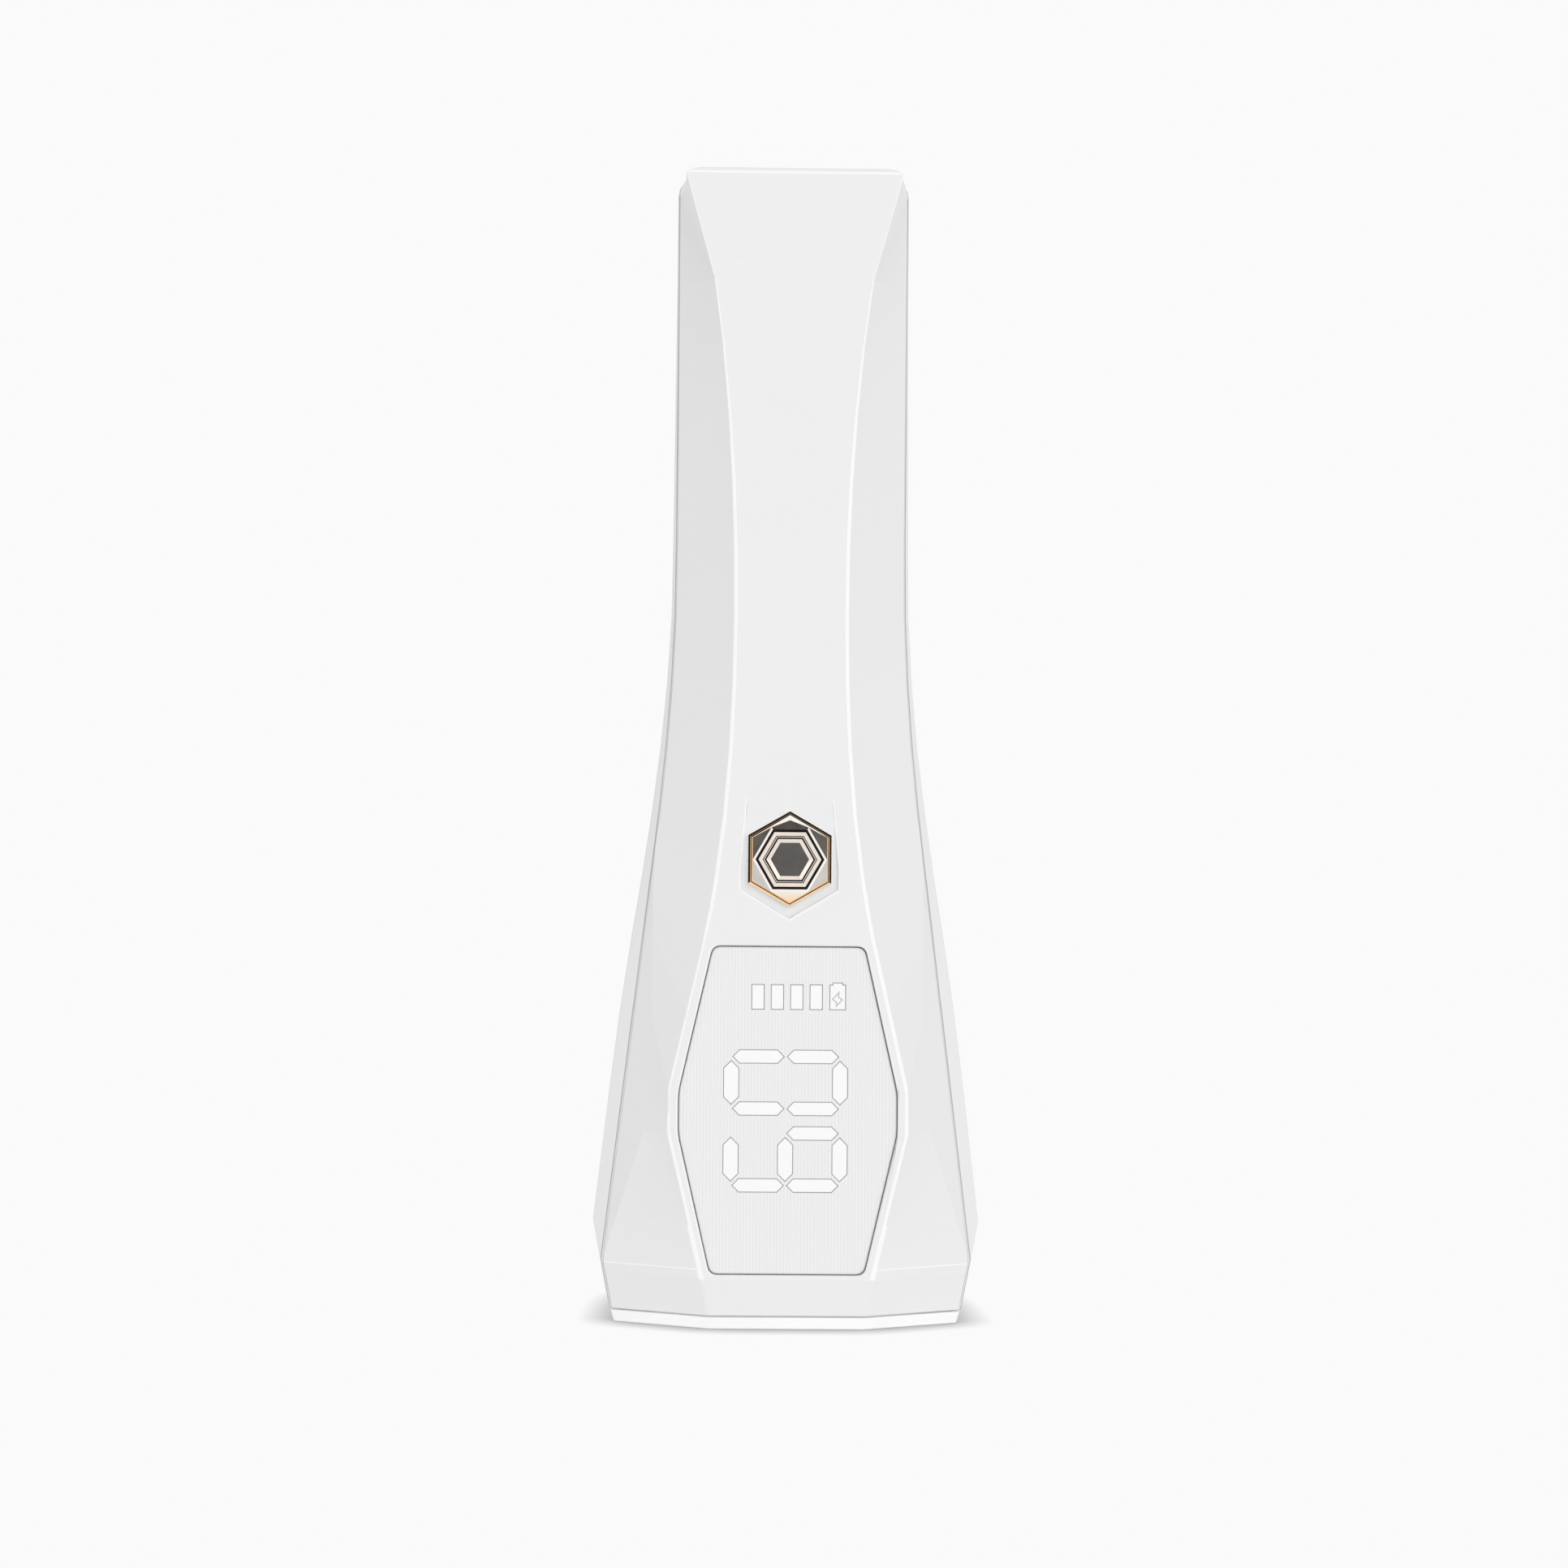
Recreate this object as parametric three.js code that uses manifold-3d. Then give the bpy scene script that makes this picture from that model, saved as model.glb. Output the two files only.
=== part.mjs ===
// Cordless hand-held led nail lamp: a two-shell wand with a display and a push button in front,
// and the curing lamp behind a clear cover in the back of its head.
// Units are millimetres. +Z is up, the display faces -Y, and the lamp stands on its head end,
// with the origin in the middle of the foot.

import * as THREE from 'three';
import { mergeVertices } from 'three/addons/utils/BufferGeometryUtils.js';
import Module from 'manifold-3d';

const wasm = await Module();
wasm.setup();

// Walls and clearances
const wall = 2;
const overrun = 1;
const fitGap = 0.3;
const slideGap = 0.15;
const seamGap = 0.3;
const lipThickness = 0.8;
const lipHeight = 1.6;
const mergeTolerance = 1e-4;

// What the handle is built round: its cell, and the charging board above it
const cellRadius = 9.25;
const cellLength = 65;
const cellFrontRoom = 2.25;
const cellFootRoom = 8.3;
const padThickness = 1.65;
const tabThickness = 0.3;
const ribThickness = 1.4;
const usbBoardTall = 13.5;
const usbBoardRoom = 2.2;

// Housing heights, from the foot up
const footThickness = 2;
const chinTopHeight = 8.2;
const lowCornerRise = 1.6;
const widestRise = 6.8;
const frameFlareTall = 23.2;
const frameFlatTall = 7.2;
const frameTaperTall = 25.2;
const creaseTopRise = 8.7;
const seamNeckRise = 13.5;
const buttonRise = 12.5;
const boardAboveButton = 19.7;
const waistRise = 53.2;
const handleRise = 8;
const backEaseDrop = 1.8;
const kinkDrop = 18.6;
const crownRadius = 3.2;
const crownDepth = 1.3;

const lowCornerHeight = chinTopHeight + lowCornerRise;
const widestHeight = lowCornerHeight + widestRise;
const frameLowHeight = chinTopHeight + frameFlareTall;
const frameHighHeight = frameLowHeight + frameFlatTall;
const creaseBendHeight = (frameLowHeight + frameHighHeight) / 2;
const frameTopHeight = frameHighHeight + frameTaperTall;
const creaseTopHeight = frameTopHeight + creaseTopRise;
const seamNeckHeight = frameTopHeight + seamNeckRise;
const backEaseHeight = frameTopHeight - backEaseDrop;
const buttonHeight = frameTopHeight + buttonRise;
const controlBoardTop = buttonHeight + boardAboveButton;
const waistHeight = frameTopHeight + waistRise;
const handleStartHeight = waistHeight + handleRise;
const cellFoot = controlBoardTop + cellFootRoom;
const cellTop = cellFoot + cellLength;
const usbBoardFoot = cellTop + tabThickness + fitGap + ribThickness + usbBoardRoom;
const usbBoardTop = usbBoardFoot + usbBoardTall;
const totalHeight = usbBoardTop + overrun + wall;
const kinkHeight = totalHeight - kinkDrop;

// Housing half widths
const chinHalf = 12.8;
const frameBottomHalf = 13.85;
const frameWideHalf = 19.5;
const frameTopHalf = 13.75;
const waistHalf = 9.3;
const kinkHalf = 13.05;
const bandTopHalf = 18.25;
const creaseStep = 3;
const seamBaseHalf = 28.9;
const seamCornerHalf = 30.3;
const seamNeckSpread = 3.2;
const seamHandleHalf = 19.1;
const flankBaseHalf = 29.1;
const flankWidestHalf = 31.85;
const flankNeckHalf = 25.9;
const flankStep = 0.65;
const flankTopStep = 0.3;
const backHeadHalf = 24.5;
const backHandleHalf = 11.5;
const creaseHalf = frameWideHalf + creaseStep;
const seamNeckHalf = seamHandleHalf + seamNeckSpread;
const flankHandleHalf = seamHandleHalf + flankStep;

// Housing depths: fronts lie on the -Y side
const chinBottomDepth = -20.6;
const chinTopDepth = -21.5;
const frameTopDepth = -17.2;
const handleFrontDepth = -(wall + cellFrontRoom + cellRadius);
const seamFootDepth = -12.5;
const seamHeadDepth = -7;
const seamHandleDepth = -3;
const creaseTopSetoff = 1.1;
const creaseBendDepth = -15.8;
const flankHeadSetback = 2;
const flankHandleSetback = 1.35;
const backBaseDepth = 20.6;
const backHeadDepth = 21.5;
const backHandleDepth = cellRadius + padThickness + 2 * fitGap + wall;

// Slopes of the fair curves, in millimetres across for each millimetre up
const bandFootLean = -0.2;
const bandKinkLean = 0.15;
const bandDepthLean = 0.1;
const seamLean = -0.12;
const flankFootLean = -0.12;
const flankNeckLean = -0.165;

// Counts that set how finely round forms are drawn
const handleSteps = 9;
const crownSteps = 4;
const backSteps = 4;
const roundSides = 20;
const smallSides = 12;

// Directions: a piece drawn in the XY plane and pulled along +Z can be turned to face the front,
// the back or the side
const axisX = new THREE.Vector3(1, 0, 0);
const axisY = new THREE.Vector3(0, 1, 0);
const axisZ = new THREE.Vector3(0, 0, 1);
const facingFront = new THREE.Matrix4().makeBasis(axisX, axisZ, axisY.clone().negate());
const facingBack = new THREE.Matrix4().makeBasis(axisX.clone().negate(), axisZ, axisY);
const facingSide = new THREE.Matrix4().makeBasis(axisY, axisZ, axisX);

// A closed geometry as a solid that can be joined and cut
function solidFrom(geometry) {
  const bare = geometry.clone();
  bare.deleteAttribute('normal');
  bare.deleteAttribute('uv');
  const merged = mergeVertices(bare, mergeTolerance);
  const index = merged.index.array;
  const kept = [];
  for (let i = 0; i < index.length; i += 3) {
    const [a, b, c] = [index[i], index[i + 1], index[i + 2]];
    if (a !== b && b !== c && c !== a) kept.push(a, b, c);
  }
  return new wasm.Manifold(new wasm.Mesh({
    numProp: 3,
    vertProperties: new Float32Array(merged.attributes.position.array),
    triVerts: new Uint32Array(kept),
  }));
}

// A solid back as a faceted geometry
function geometryFrom(solid) {
  const mesh = solid.getMesh();
  const geometry = new THREE.BufferGeometry();
  const stride = mesh.numProp;
  const positions = new Float32Array((mesh.vertProperties.length / stride) * 3);
  for (let i = 0; i < positions.length / 3; i += 1) {
    for (let k = 0; k < 3; k += 1) positions[3 * i + k] = mesh.vertProperties[stride * i + k];
  }
  geometry.setAttribute('position', new THREE.BufferAttribute(positions, 3));
  geometry.setIndex(new THREE.BufferAttribute(new Uint32Array(mesh.triVerts), 1));
  const faceted = geometry.toNonIndexed();
  faceted.computeVertexNormals();
  return faceted;
}

function join(solids) {
  return solids.reduce((whole, next) => whole.add(next));
}

function cut(solid, cutters) {
  return cutters.reduce((rest, cutter) => rest.subtract(cutter), solid);
}

// A flat outline as a shape, its corners rounded when a radius is given
function outline(points, radius = 0) {
  const shape = new THREE.Shape();
  const corners = points.map(([x, y]) => new THREE.Vector2(x, y));
  if (radius === 0) return new THREE.Shape(corners);
  corners.forEach((corner, i) => {
    const before = corners[(i + corners.length - 1) % corners.length];
    const after = corners[(i + 1) % corners.length];
    const start = before.clone().sub(corner).setLength(radius).add(corner);
    const end = after.clone().sub(corner).setLength(radius).add(corner);
    if (i === 0) shape.moveTo(start.x, start.y);
    else shape.lineTo(start.x, start.y);
    shape.quadraticCurveTo(corner.x, corner.y, end.x, end.y);
  });
  shape.closePath();
  return shape;
}

// A prism pulled from one level to another, then turned by a matrix
function prism(shape, from, to, turn = null, curveSegments = 4) {
  const geometry = new THREE.ExtrudeGeometry(shape, {
    depth: to - from, bevelEnabled: false, steps: 1, curveSegments,
  });
  geometry.translate(0, 0, from);
  if (turn) geometry.applyMatrix4(turn);
  return solidFrom(geometry);
}

function rectangle(width, height, x = 0, y = 0) {
  const [w, h] = [width / 2, height / 2];
  return [[x - w, y - h], [x + w, y - h], [x + w, y + h], [x - w, y + h]];
}

// A regular polygon by the distance from its middle to its flats, first corner at a start angle
function regular(sides, apothem, start = 0, x = 0, y = 0) {
  const reach = apothem / Math.cos(Math.PI / sides);
  return Array.from({ length: sides }, (_, i) => {
    const angle = start + (2 * Math.PI * i) / sides;
    return [x + reach * Math.cos(angle), y + reach * Math.sin(angle)];
  });
}

function circle(radius, sides = roundSides, x = 0, y = 0) {
  return regular(sides, radius * Math.cos(Math.PI / sides), 0, x, y);
}

function block(sizeX, sizeY, sizeZ, x, y, z) {
  const geometry = new THREE.BoxGeometry(sizeX, sizeY, sizeZ);
  geometry.translate(x, y, z);
  return solidFrom(geometry);
}

// A round bar along Y, from one depth to another
function barAlongY(radius, x, z, from, to, sides = smallSides) {
  return prism(outline(circle(radius, sides, x, z)), -to, -from, facingFront);
}

// A solid through a row of level sections that all have the same number of points
function loft(sections) {
  const count = sections[0].points.length;
  const positions = [];
  sections.forEach(({ z, points }) => points.forEach(([x, y]) => positions.push(x, y, z)));
  const index = [];
  for (let s = 0; s + 1 < sections.length; s += 1) {
    for (let i = 0; i < count; i += 1) {
      const next = (i + 1) % count;
      const [a, b] = [s * count + i, s * count + next];
      const [c, d] = [a + count, b + count];
      const rightHalf = i < count / 2;
      if (rightHalf) index.push(a, b, d, a, d, c);
      else index.push(a, b, c, b, d, c);
    }
  }
  const cap = (s, flip) => {
    const { points, z } = sections[s];
    const middle = positions.length / 3;
    const sum = points.reduce(([a, b], [x, y]) => [a + x, b + y], [0, 0]);
    positions.push(sum[0] / count, sum[1] / count, z);
    points.forEach((_, i) => {
      const [a, b] = [s * count + i, s * count + ((i + 1) % count)];
      if (flip) index.push(middle, b, a);
      else index.push(middle, a, b);
    });
  };
  cap(0, true);
  cap(sections.length - 1, false);
  const geometry = new THREE.BufferGeometry();
  geometry.setAttribute('position', new THREE.BufferAttribute(new Float32Array(positions), 3));
  geometry.setIndex(index);
  return solidFrom(geometry);
}

// A value between two ends along straight pieces: knots are [height, value]
function straight(z, knots) {
  if (z <= knots[0][0]) return knots[0][1];
  for (let i = 0; i + 1 < knots.length; i += 1) {
    const [[z0, v0], [z1, v1]] = [knots[i], knots[i + 1]];
    if (z <= z1) return v0 + ((v1 - v0) * (z - z0)) / (z1 - z0);
  }
  return knots[knots.length - 1][1];
}

// A fair curve between two heights, leaving and arriving at given slopes
function fair(z, [z0, v0, lean0], [z1, v1, lean1]) {
  const span = z1 - z0;
  const t = (z - z0) / span;
  const u = 1 - t;
  return v0 * u * u * (1 + 2 * t) + v1 * t * t * (3 - 2 * t)
    + span * (lean0 * t * u * u - lean1 * t * t * u);
}

// The housing outline

const bodyBottom = footThickness + seamGap;
const crownStart = totalHeight - crownRadius;
const crownSideStep = 0.4;
const backEdgeStep = 0.4;

function bandHalf(z) {
  if (z > kinkHeight) return straight(z, [[kinkHeight, kinkHalf], [totalHeight, bandTopHalf]]);
  if (z > waistHeight) {
    return fair(z, [waistHeight, waistHalf, 0], [kinkHeight, kinkHalf, bandKinkLean]);
  }
  if (z > frameTopHeight) {
    return fair(z, [frameTopHeight, frameTopHalf, bandFootLean], [waistHeight, waistHalf, 0]);
  }
  return straight(z, [
    [bodyBottom, chinHalf], [chinTopHeight, frameBottomHalf], [frameLowHeight, frameWideHalf],
    [frameHighHeight, frameWideHalf], [frameTopHeight, frameTopHalf],
  ]);
}

function bandDepth(z) {
  if (z > handleStartHeight) return handleFrontDepth;
  if (z > frameTopHeight) {
    const handle = [handleStartHeight, handleFrontDepth, 0];
    return fair(z, [frameTopHeight, frameTopDepth, bandDepthLean], handle);
  }
  return straight(z, [
    [bodyBottom, chinBottomDepth], [chinTopHeight, chinTopDepth], [frameTopHeight, frameTopDepth],
  ]);
}

function seamHalf(z) {
  if (z > handleStartHeight) return seamHandleHalf;
  if (z > seamNeckHeight) {
    const neck = [seamNeckHeight, seamNeckHalf, seamLean];
    return fair(z, neck, [handleStartHeight, seamHandleHalf, 0]);
  }
  return straight(z, [
    [bodyBottom, seamBaseHalf], [lowCornerHeight, seamCornerHalf], [seamNeckHeight, seamNeckHalf],
  ]);
}

function seamDepth(z) {
  if (z <= frameTopHeight) {
    return straight(z, [[lowCornerHeight, seamFootDepth], [frameTopHeight, seamHeadDepth]]);
  }
  if (z >= handleStartHeight) return seamHandleDepth;
  const lean = (seamHeadDepth - seamFootDepth) / (frameTopHeight - lowCornerHeight);
  const head = [frameTopHeight, seamHeadDepth, lean];
  return fair(z, head, [handleStartHeight, seamHandleDepth, 0]);
}

function flankHalf(z) {
  if (z > handleStartHeight) {
    const step = straight(z, [[handleStartHeight, flankStep], [kinkHeight, flankTopStep]]);
    return seamHandleHalf + step;
  }
  if (z > frameTopHeight) {
    const neck = [frameTopHeight, flankNeckHalf, flankNeckLean];
    return fair(z, neck, [handleStartHeight, flankHandleHalf, 0]);
  }
  if (z > widestHeight) {
    const neck = [frameTopHeight, flankNeckHalf, flankNeckLean];
    return fair(z, [widestHeight, flankWidestHalf, flankFootLean], neck);
  }
  return straight(z, [[bodyBottom, flankBaseHalf], [widestHeight, flankWidestHalf]]);
}

function flankDepth(z) {
  return seamDepth(z) + straight(z, [
    [frameTopHeight, flankHeadSetback], [handleStartHeight, flankHandleSetback],
  ]);
}

function backDepth(z) {
  if (z >= waistHeight) return backHandleDepth;
  if (z > backEaseHeight) {
    return fair(z, [backEaseHeight, backHeadDepth, 0], [waistHeight, backHandleDepth, 0]);
  }
  return straight(z, [[bodyBottom, backBaseDepth], [chinTopHeight, backHeadDepth]]);
}

function backHalf(z) {
  if (z >= waistHeight) return backHandleHalf;
  if (z <= frameHighHeight) return backHeadHalf;
  return fair(z, [frameHighHeight, backHeadHalf, 0], [waistHeight, backHandleHalf, 0]);
}

const creaseTopDepth = seamDepth(creaseTopHeight) - creaseTopSetoff;

// The crease of the lower side facet, from the neck down to the low corner
function creasePoint(z) {
  const seam = [seamHalf(z), seamDepth(z)];
  if (z <= lowCornerHeight || z > creaseTopHeight) return seam;
  const half = straight(z, [[lowCornerHeight, seamCornerHalf], [creaseBendHeight, creaseHalf]]);
  const depth = straight(z, [
    [lowCornerHeight, seamFootDepth], [creaseBendHeight, creaseBendDepth],
    [creaseTopHeight, creaseTopDepth],
  ]);
  return [half, depth];
}

// The soft crease that climbs from the top corner of the display frame to the neck
function slantPoint(z) {
  if (z <= frameTopHeight) return [bandHalf(z), bandDepth(z)];
  if (z > creaseTopHeight) return creasePoint(z);
  return [
    straight(z, [[frameTopHeight, frameTopHalf], [creaseTopHeight, creaseHalf]]),
    straight(z, [[frameTopHeight, frameTopDepth], [creaseTopHeight, creaseTopDepth]]),
  ];
}

// The outline of the housing at a height, counter-clockwise from the front right
function bodyOutline(height) {
  const z = Math.min(Math.max(height, bodyBottom), totalHeight);
  const climb = Math.min(1, Math.max(0, (z - crownStart) / crownRadius));
  const drawIn = 1 - Math.sqrt(1 - climb * climb);
  const sideIn = crownRadius * drawIn;
  const depthIn = crownDepth * drawIn;
  const seam = [seamHalf(z) - sideIn, seamDepth(z)];
  const flank = [flankHalf(z) - sideIn, flankDepth(z)];
  const band = [Math.min(bandHalf(z), seam[0] - crownSideStep), bandDepth(z) + depthIn];
  const inNeck = z > lowCornerHeight && z <= creaseTopHeight;
  const crease = inNeck ? creasePoint(z) : seam;
  const slant = z > creaseTopHeight ? seam : slantPoint(z);
  const back = [Math.min(backHalf(z), flank[0] - crownRadius), backDepth(z) - depthIn];
  const bend = [flank[0] - backEdgeStep, back[1]];
  const right = [band, slant, crease, seam, flank];
  for (let i = 1; i < backSteps; i += 1) {
    const t = i / backSteps;
    const u = 1 - t;
    right.push([0, 1].map((k) => u * u * flank[k] + 2 * u * t * bend[k] + t * t * back[k]));
  }
  right.push(back);
  return [...right, ...right.map(([x, y]) => [-x, y]).reverse()];
}

// An outline moved inwards by the same amount on every side, or outwards if it is negative
function insetOutline(points, inset) {
  if (inset === 0) return points;
  const count = points.length;
  const edge = (i) => {
    const [a, b] = [points[i % count], points[(i + 1) % count]];
    return new THREE.Vector2(b[0] - a[0], b[1] - a[1]);
  };
  const realEdge = (start, step) => {
    let i = start;
    while (edge(i).length() < Number.EPSILON * totalHeight * count) i += step;
    return edge(i).normalize();
  };
  return points.map(([x, y], i) => {
    const before = realEdge(i - 1 + count, -1);
    const after = realEdge(i, 1);
    const mitre = new THREE.Vector2(-before.y - after.y, before.x + after.x).normalize();
    const reach = inset / (mitre.y * before.x - mitre.x * before.y);
    return [x + mitre.x * reach, y + mitre.y * reach];
  });
}

const climbHeights = Array.from({ length: handleSteps + 1 }, (_, i) => (
  creaseTopHeight + ((kinkHeight - creaseTopHeight) * i) / handleSteps));
const crownHeights = Array.from({ length: crownSteps }, (_, i) => (
  crownStart + crownRadius * Math.sin((Math.PI / 2) * (i / crownSteps))));
const stationHeights = [
  chinTopHeight, lowCornerHeight, widestHeight, frameLowHeight, creaseBendHeight, frameHighHeight,
  (frameHighHeight + frameTopHeight) / 2, frameTopHeight, (frameTopHeight + creaseTopHeight) / 2,
  ...climbHeights, ...crownHeights,
];

// The housing's outer form, or the same form inset all round, between two heights
function bodyForm(inset, from, to) {
  const heights = [from, ...stationHeights.filter((z) => z > from && z < to), to];
  return loft(heights.map((z) => ({ z, points: insetOutline(bodyOutline(z), inset) })));
}

const outerForm = bodyForm(0, bodyBottom, totalHeight);
const cavityForm = bodyForm(wall, bodyBottom - overrun, totalHeight - wall);
const rootForm = bodyForm(wall / 2, bodyBottom - overrun, totalHeight - wall / 2);

// Everything on one side of the parting line, moved by an offset
const farReach = totalHeight / 2;
function seamSide(offset, direction) {
  const heights = [bodyBottom - overrun, ...stationHeights, totalHeight + overrun];
  const line = heights.map((z) => [seamDepth(z) + offset, z]);
  const far = farReach * direction;
  const points = [...line, [far, totalHeight + overrun], [far, bodyBottom - overrun]];
  return prism(outline(points), -farReach, farReach, facingSide);
}

// The display frame is a flat facet that leans back. Its own plane has u across, v up the slope
// and w out of the facet.

const windowBorder = 1.6;
const windowFootDrop = 0.8;
const windowCornerRadius = 1.3;
const faceRecess = 1;
const faceFlange = 0.7;
const faceFlangeThickness = 1;
const guideThickness = 1;
const guideRimWall = 1.2;
const guideRimHeight = 1.1;
const guideGap = 0.12;
const displayBoardThickness = 1.2;
const lightChipHeight = 0.7;
const lightChipWidth = 1.6;

const frameUp = new THREE.Vector3(
  0, frameTopDepth - chinTopDepth, frameTopHeight - chinTopHeight).normalize();
const frameOut = axisX.clone().cross(frameUp);
const frameMiddle = (frameTopHeight + chinTopHeight) / 2;
const onFrame = new THREE.Matrix4().makeBasis(axisX, frameUp, frameOut)
  .setPosition(0, (frameTopDepth + chinTopDepth) / 2, frameMiddle);

const upSlope = (z) => (z - frameMiddle) / frameUp.z;

// The display window, inset from the edge of the facet all round, and less so at its foot
function windowPoints(grow) {
  const right = [
    [frameBottomHalf, upSlope(chinTopHeight - windowFootDrop)],
    [frameWideHalf, upSlope(frameLowHeight)],
    [frameWideHalf, upSlope(frameHighHeight)], [frameTopHalf, upSlope(frameTopHeight)],
  ];
  const facet = [...right, ...right.map(([u, v]) => [-u, v]).reverse()];
  return insetOutline(facet, windowBorder - grow);
}

// The number on the display lies on its side, so each digit's height runs across the window
const digitStroke = 2.3;
const crossStroke = 2.6;
const digitReach = 8.87;
const digitWidth = 8.45;
const digitShift = -0.4;
const upperDigitShare = 0.572;
const digitPitch = 12.4;
const segmentTipGap = 0.3;
const crossTipGap = 1.15;
const barWidth = 2.15;
const barTall = 4.15;
const barPitch = 3.17;
const barCount = 4;
const barsRise = 13.9;
const cellMarkWidth = 2.7;
const cellMarkInset = 0.45;
const cellMarkStep = 3.52;
const cellTipWidth = 1.7;
const cellTipTall = 0.35;
const upperDigitHeight = chinTopHeight + (frameTopHeight - chinTopHeight) * upperDigitShare;
const lowerDigitHeight = upperDigitHeight - digitPitch;
const barsHeight = upperDigitHeight + barsRise;

// Which of the seven strokes are lit: the four long sides, then the three across
const litStrokes = {
  zero: { leftTop: 1, rightTop: 1, leftBottom: 1, rightBottom: 1, left: 1, middle: 0, right: 1 },
  six: { leftTop: 0, rightTop: 1, leftBottom: 1, rightBottom: 1, left: 1, middle: 1, right: 1 },
};

// One stroke: a bar with pointed ends, along u or along v
function strokePoints(u, v, length, upright) {
  const [half, side] = [length / 2, (upright ? crossStroke : digitStroke) / 2];
  const bar = [
    [-half, 0], [-half + side, -side], [half - side, -side],
    [half, 0], [half - side, side], [-half + side, side],
  ];
  return bar.map(([a, b]) => (upright ? [u - b, v + a] : [u + a, v + b]));
}

function digitStrokes(lit, height) {
  const v = upSlope(height);
  const [long, short] = [digitReach - segmentTipGap, digitWidth - crossTipGap];
  const strokes = {
    leftTop: [digitShift - digitReach / 2, v + digitWidth / 2, long, false],
    rightTop: [digitShift + digitReach / 2, v + digitWidth / 2, long, false],
    leftBottom: [digitShift - digitReach / 2, v - digitWidth / 2, long, false],
    rightBottom: [digitShift + digitReach / 2, v - digitWidth / 2, long, false],
    left: [digitShift - digitReach, v, short, true],
    middle: [digitShift, v, short, true],
    right: [digitShift + digitReach, v, short, true],
  };
  return Object.keys(strokes).filter((name) => lit[name]).map((name) => (
    strokePoints(...strokes[name])));
}

// The row of charge bars, and the outline of a cell at its end
function chargeMarks() {
  const v = upSlope(barsHeight);
  const u = digitShift + digitReach - cellMarkInset;
  const first = u - cellMarkStep - barPitch * (barCount - 1);
  const bars = Array.from({ length: barCount }, (_, i) => (
    rectangle(barWidth, barTall, first + barPitch * i, v)));
  const [half, tip, top] = [cellMarkWidth / 2, cellTipWidth / 2, barTall / 2];
  const cell = [
    [u - half, v - top], [u + half, v - top], [u + half, v + top], [u + tip, v + top],
    [u + tip, v + top + cellTipTall], [u - tip, v + top + cellTipTall],
    [u - tip, v + top], [u - half, v + top],
  ];
  return [...bars, cell];
}

const displayMarks = [
  ...digitStrokes(litStrokes.zero, upperDigitHeight),
  ...digitStrokes(litStrokes.six, lowerDigitHeight),
  ...chargeMarks(),
];

function markMiddle(points) {
  const sum = points.reduce(([a, b], [u, v]) => [a + u, b + v], [0, 0]);
  return [sum[0] / points.length, sum[1] / points.length];
}

const faceFront = -faceRecess;
const flangeFront = -(wall + fitGap);
const flangeBack = flangeFront - faceFlangeThickness;
const guideFront = flangeBack - fitGap;
const guideBack = guideFront - guideThickness;
const displayBoardFront = guideBack - guideRimHeight - fitGap;
const displayBoardBack = displayBoardFront - displayBoardThickness;

function onFramePrism(points, from, to, radius = 0) {
  return prism(outline(points, radius), from, to, onFrame);
}

function makeDisplayFace() {
  const plugBack = (flangeBack + flangeFront) / 2;
  const plug = onFramePrism(windowPoints(-slideGap), plugBack, faceFront, windowCornerRadius);
  const flange = onFramePrism(windowPoints(faceFlange), flangeBack, flangeFront);
  const holes = displayMarks.map((points) => (
    onFramePrism(points, flangeBack - overrun, faceFront + overrun)));
  return cut(plug.add(flange), holes);
}

function makeSegmentGuide() {
  const rimBack = guideBack - guideRimHeight;
  const tray = onFramePrism(windowPoints(faceFlange), rimBack, guideFront)
    .subtract(onFramePrism(windowPoints(faceFlange - guideRimWall), rimBack - overrun, guideBack));
  const pillars = displayMarks.map((points) => (
    onFramePrism(insetOutline(points, guideGap), guideFront - overrun / 2, faceFront)));
  return join([tray, ...pillars]);
}

function makeDisplayBoard() {
  const board = onFramePrism(windowPoints(0), displayBoardBack, displayBoardFront);
  const chips = displayMarks.map((points) => {
    const [u, v] = markMiddle(points);
    const chip = rectangle(lightChipWidth, lightChipWidth / 2, u, v);
    const root = (displayBoardBack + displayBoardFront) / 2;
    return onFramePrism(chip, root, displayBoardFront + lightChipHeight);
  });
  return join([board, ...chips]);
}

// The push button, which slides along Y in a hexagonal ring

const buttonSink = 2;
const buttonPad = 2;
const pocketLowDrop = 9.7;
const pocketShoulderDrop = 4.9;
const pocketWaistDrop = 1.6;
const pocketHalf = 7.95;
const pocketTipHalf = 6.4;
const pocketTipRise = 15.7;
const bezelApothem = 6.8;
const bezelProud = 1.7;
const bezelRimWall = 0.45;
const bezelShelfDepth = 0.5;
const bezelShelfThickness = 1;
const bezelSkirtApothem = 5.9;
const bezelBoreApothem = 5.2;
const bezelTail = 0.3;
const buttonTravel = 0.5;
const capRimBack = 0.15;
const capCrown = 1;
const capNeckApothem = 4.9;
const plungerFlangeApothem = 5.6;
const plungerFlangeThickness = 0.8;
const plungerStemRadius = 1.6;
const plungerStemLength = 0.7;
const switchPinRadius = 1.4;
const switchPinProud = 0.8;
const switchSide = 6;
const switchTall = 3.4;

// Depths of the button's parts, from the front to the back
const buttonFloorDepth = frameTopDepth + buttonSink;
const bezelFront = buttonFloorDepth - bezelProud;
const capRimDepth = bezelFront + capRimBack;
const capFront = capRimDepth - capCrown;
const shelfFront = buttonFloorDepth - bezelShelfDepth;
const capHeadBack = shelfFront - buttonTravel - slideGap;
const bezelBack = buttonFloorDepth + buttonPad + bezelTail;
const flangeFace = bezelBack + fitGap;
const flangeRear = flangeFace + plungerFlangeThickness;
const stemEnd = flangeRear + plungerStemLength;
const switchFront = stemEnd + switchPinProud;
const controlBoardFront = switchFront + switchTall;

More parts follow.
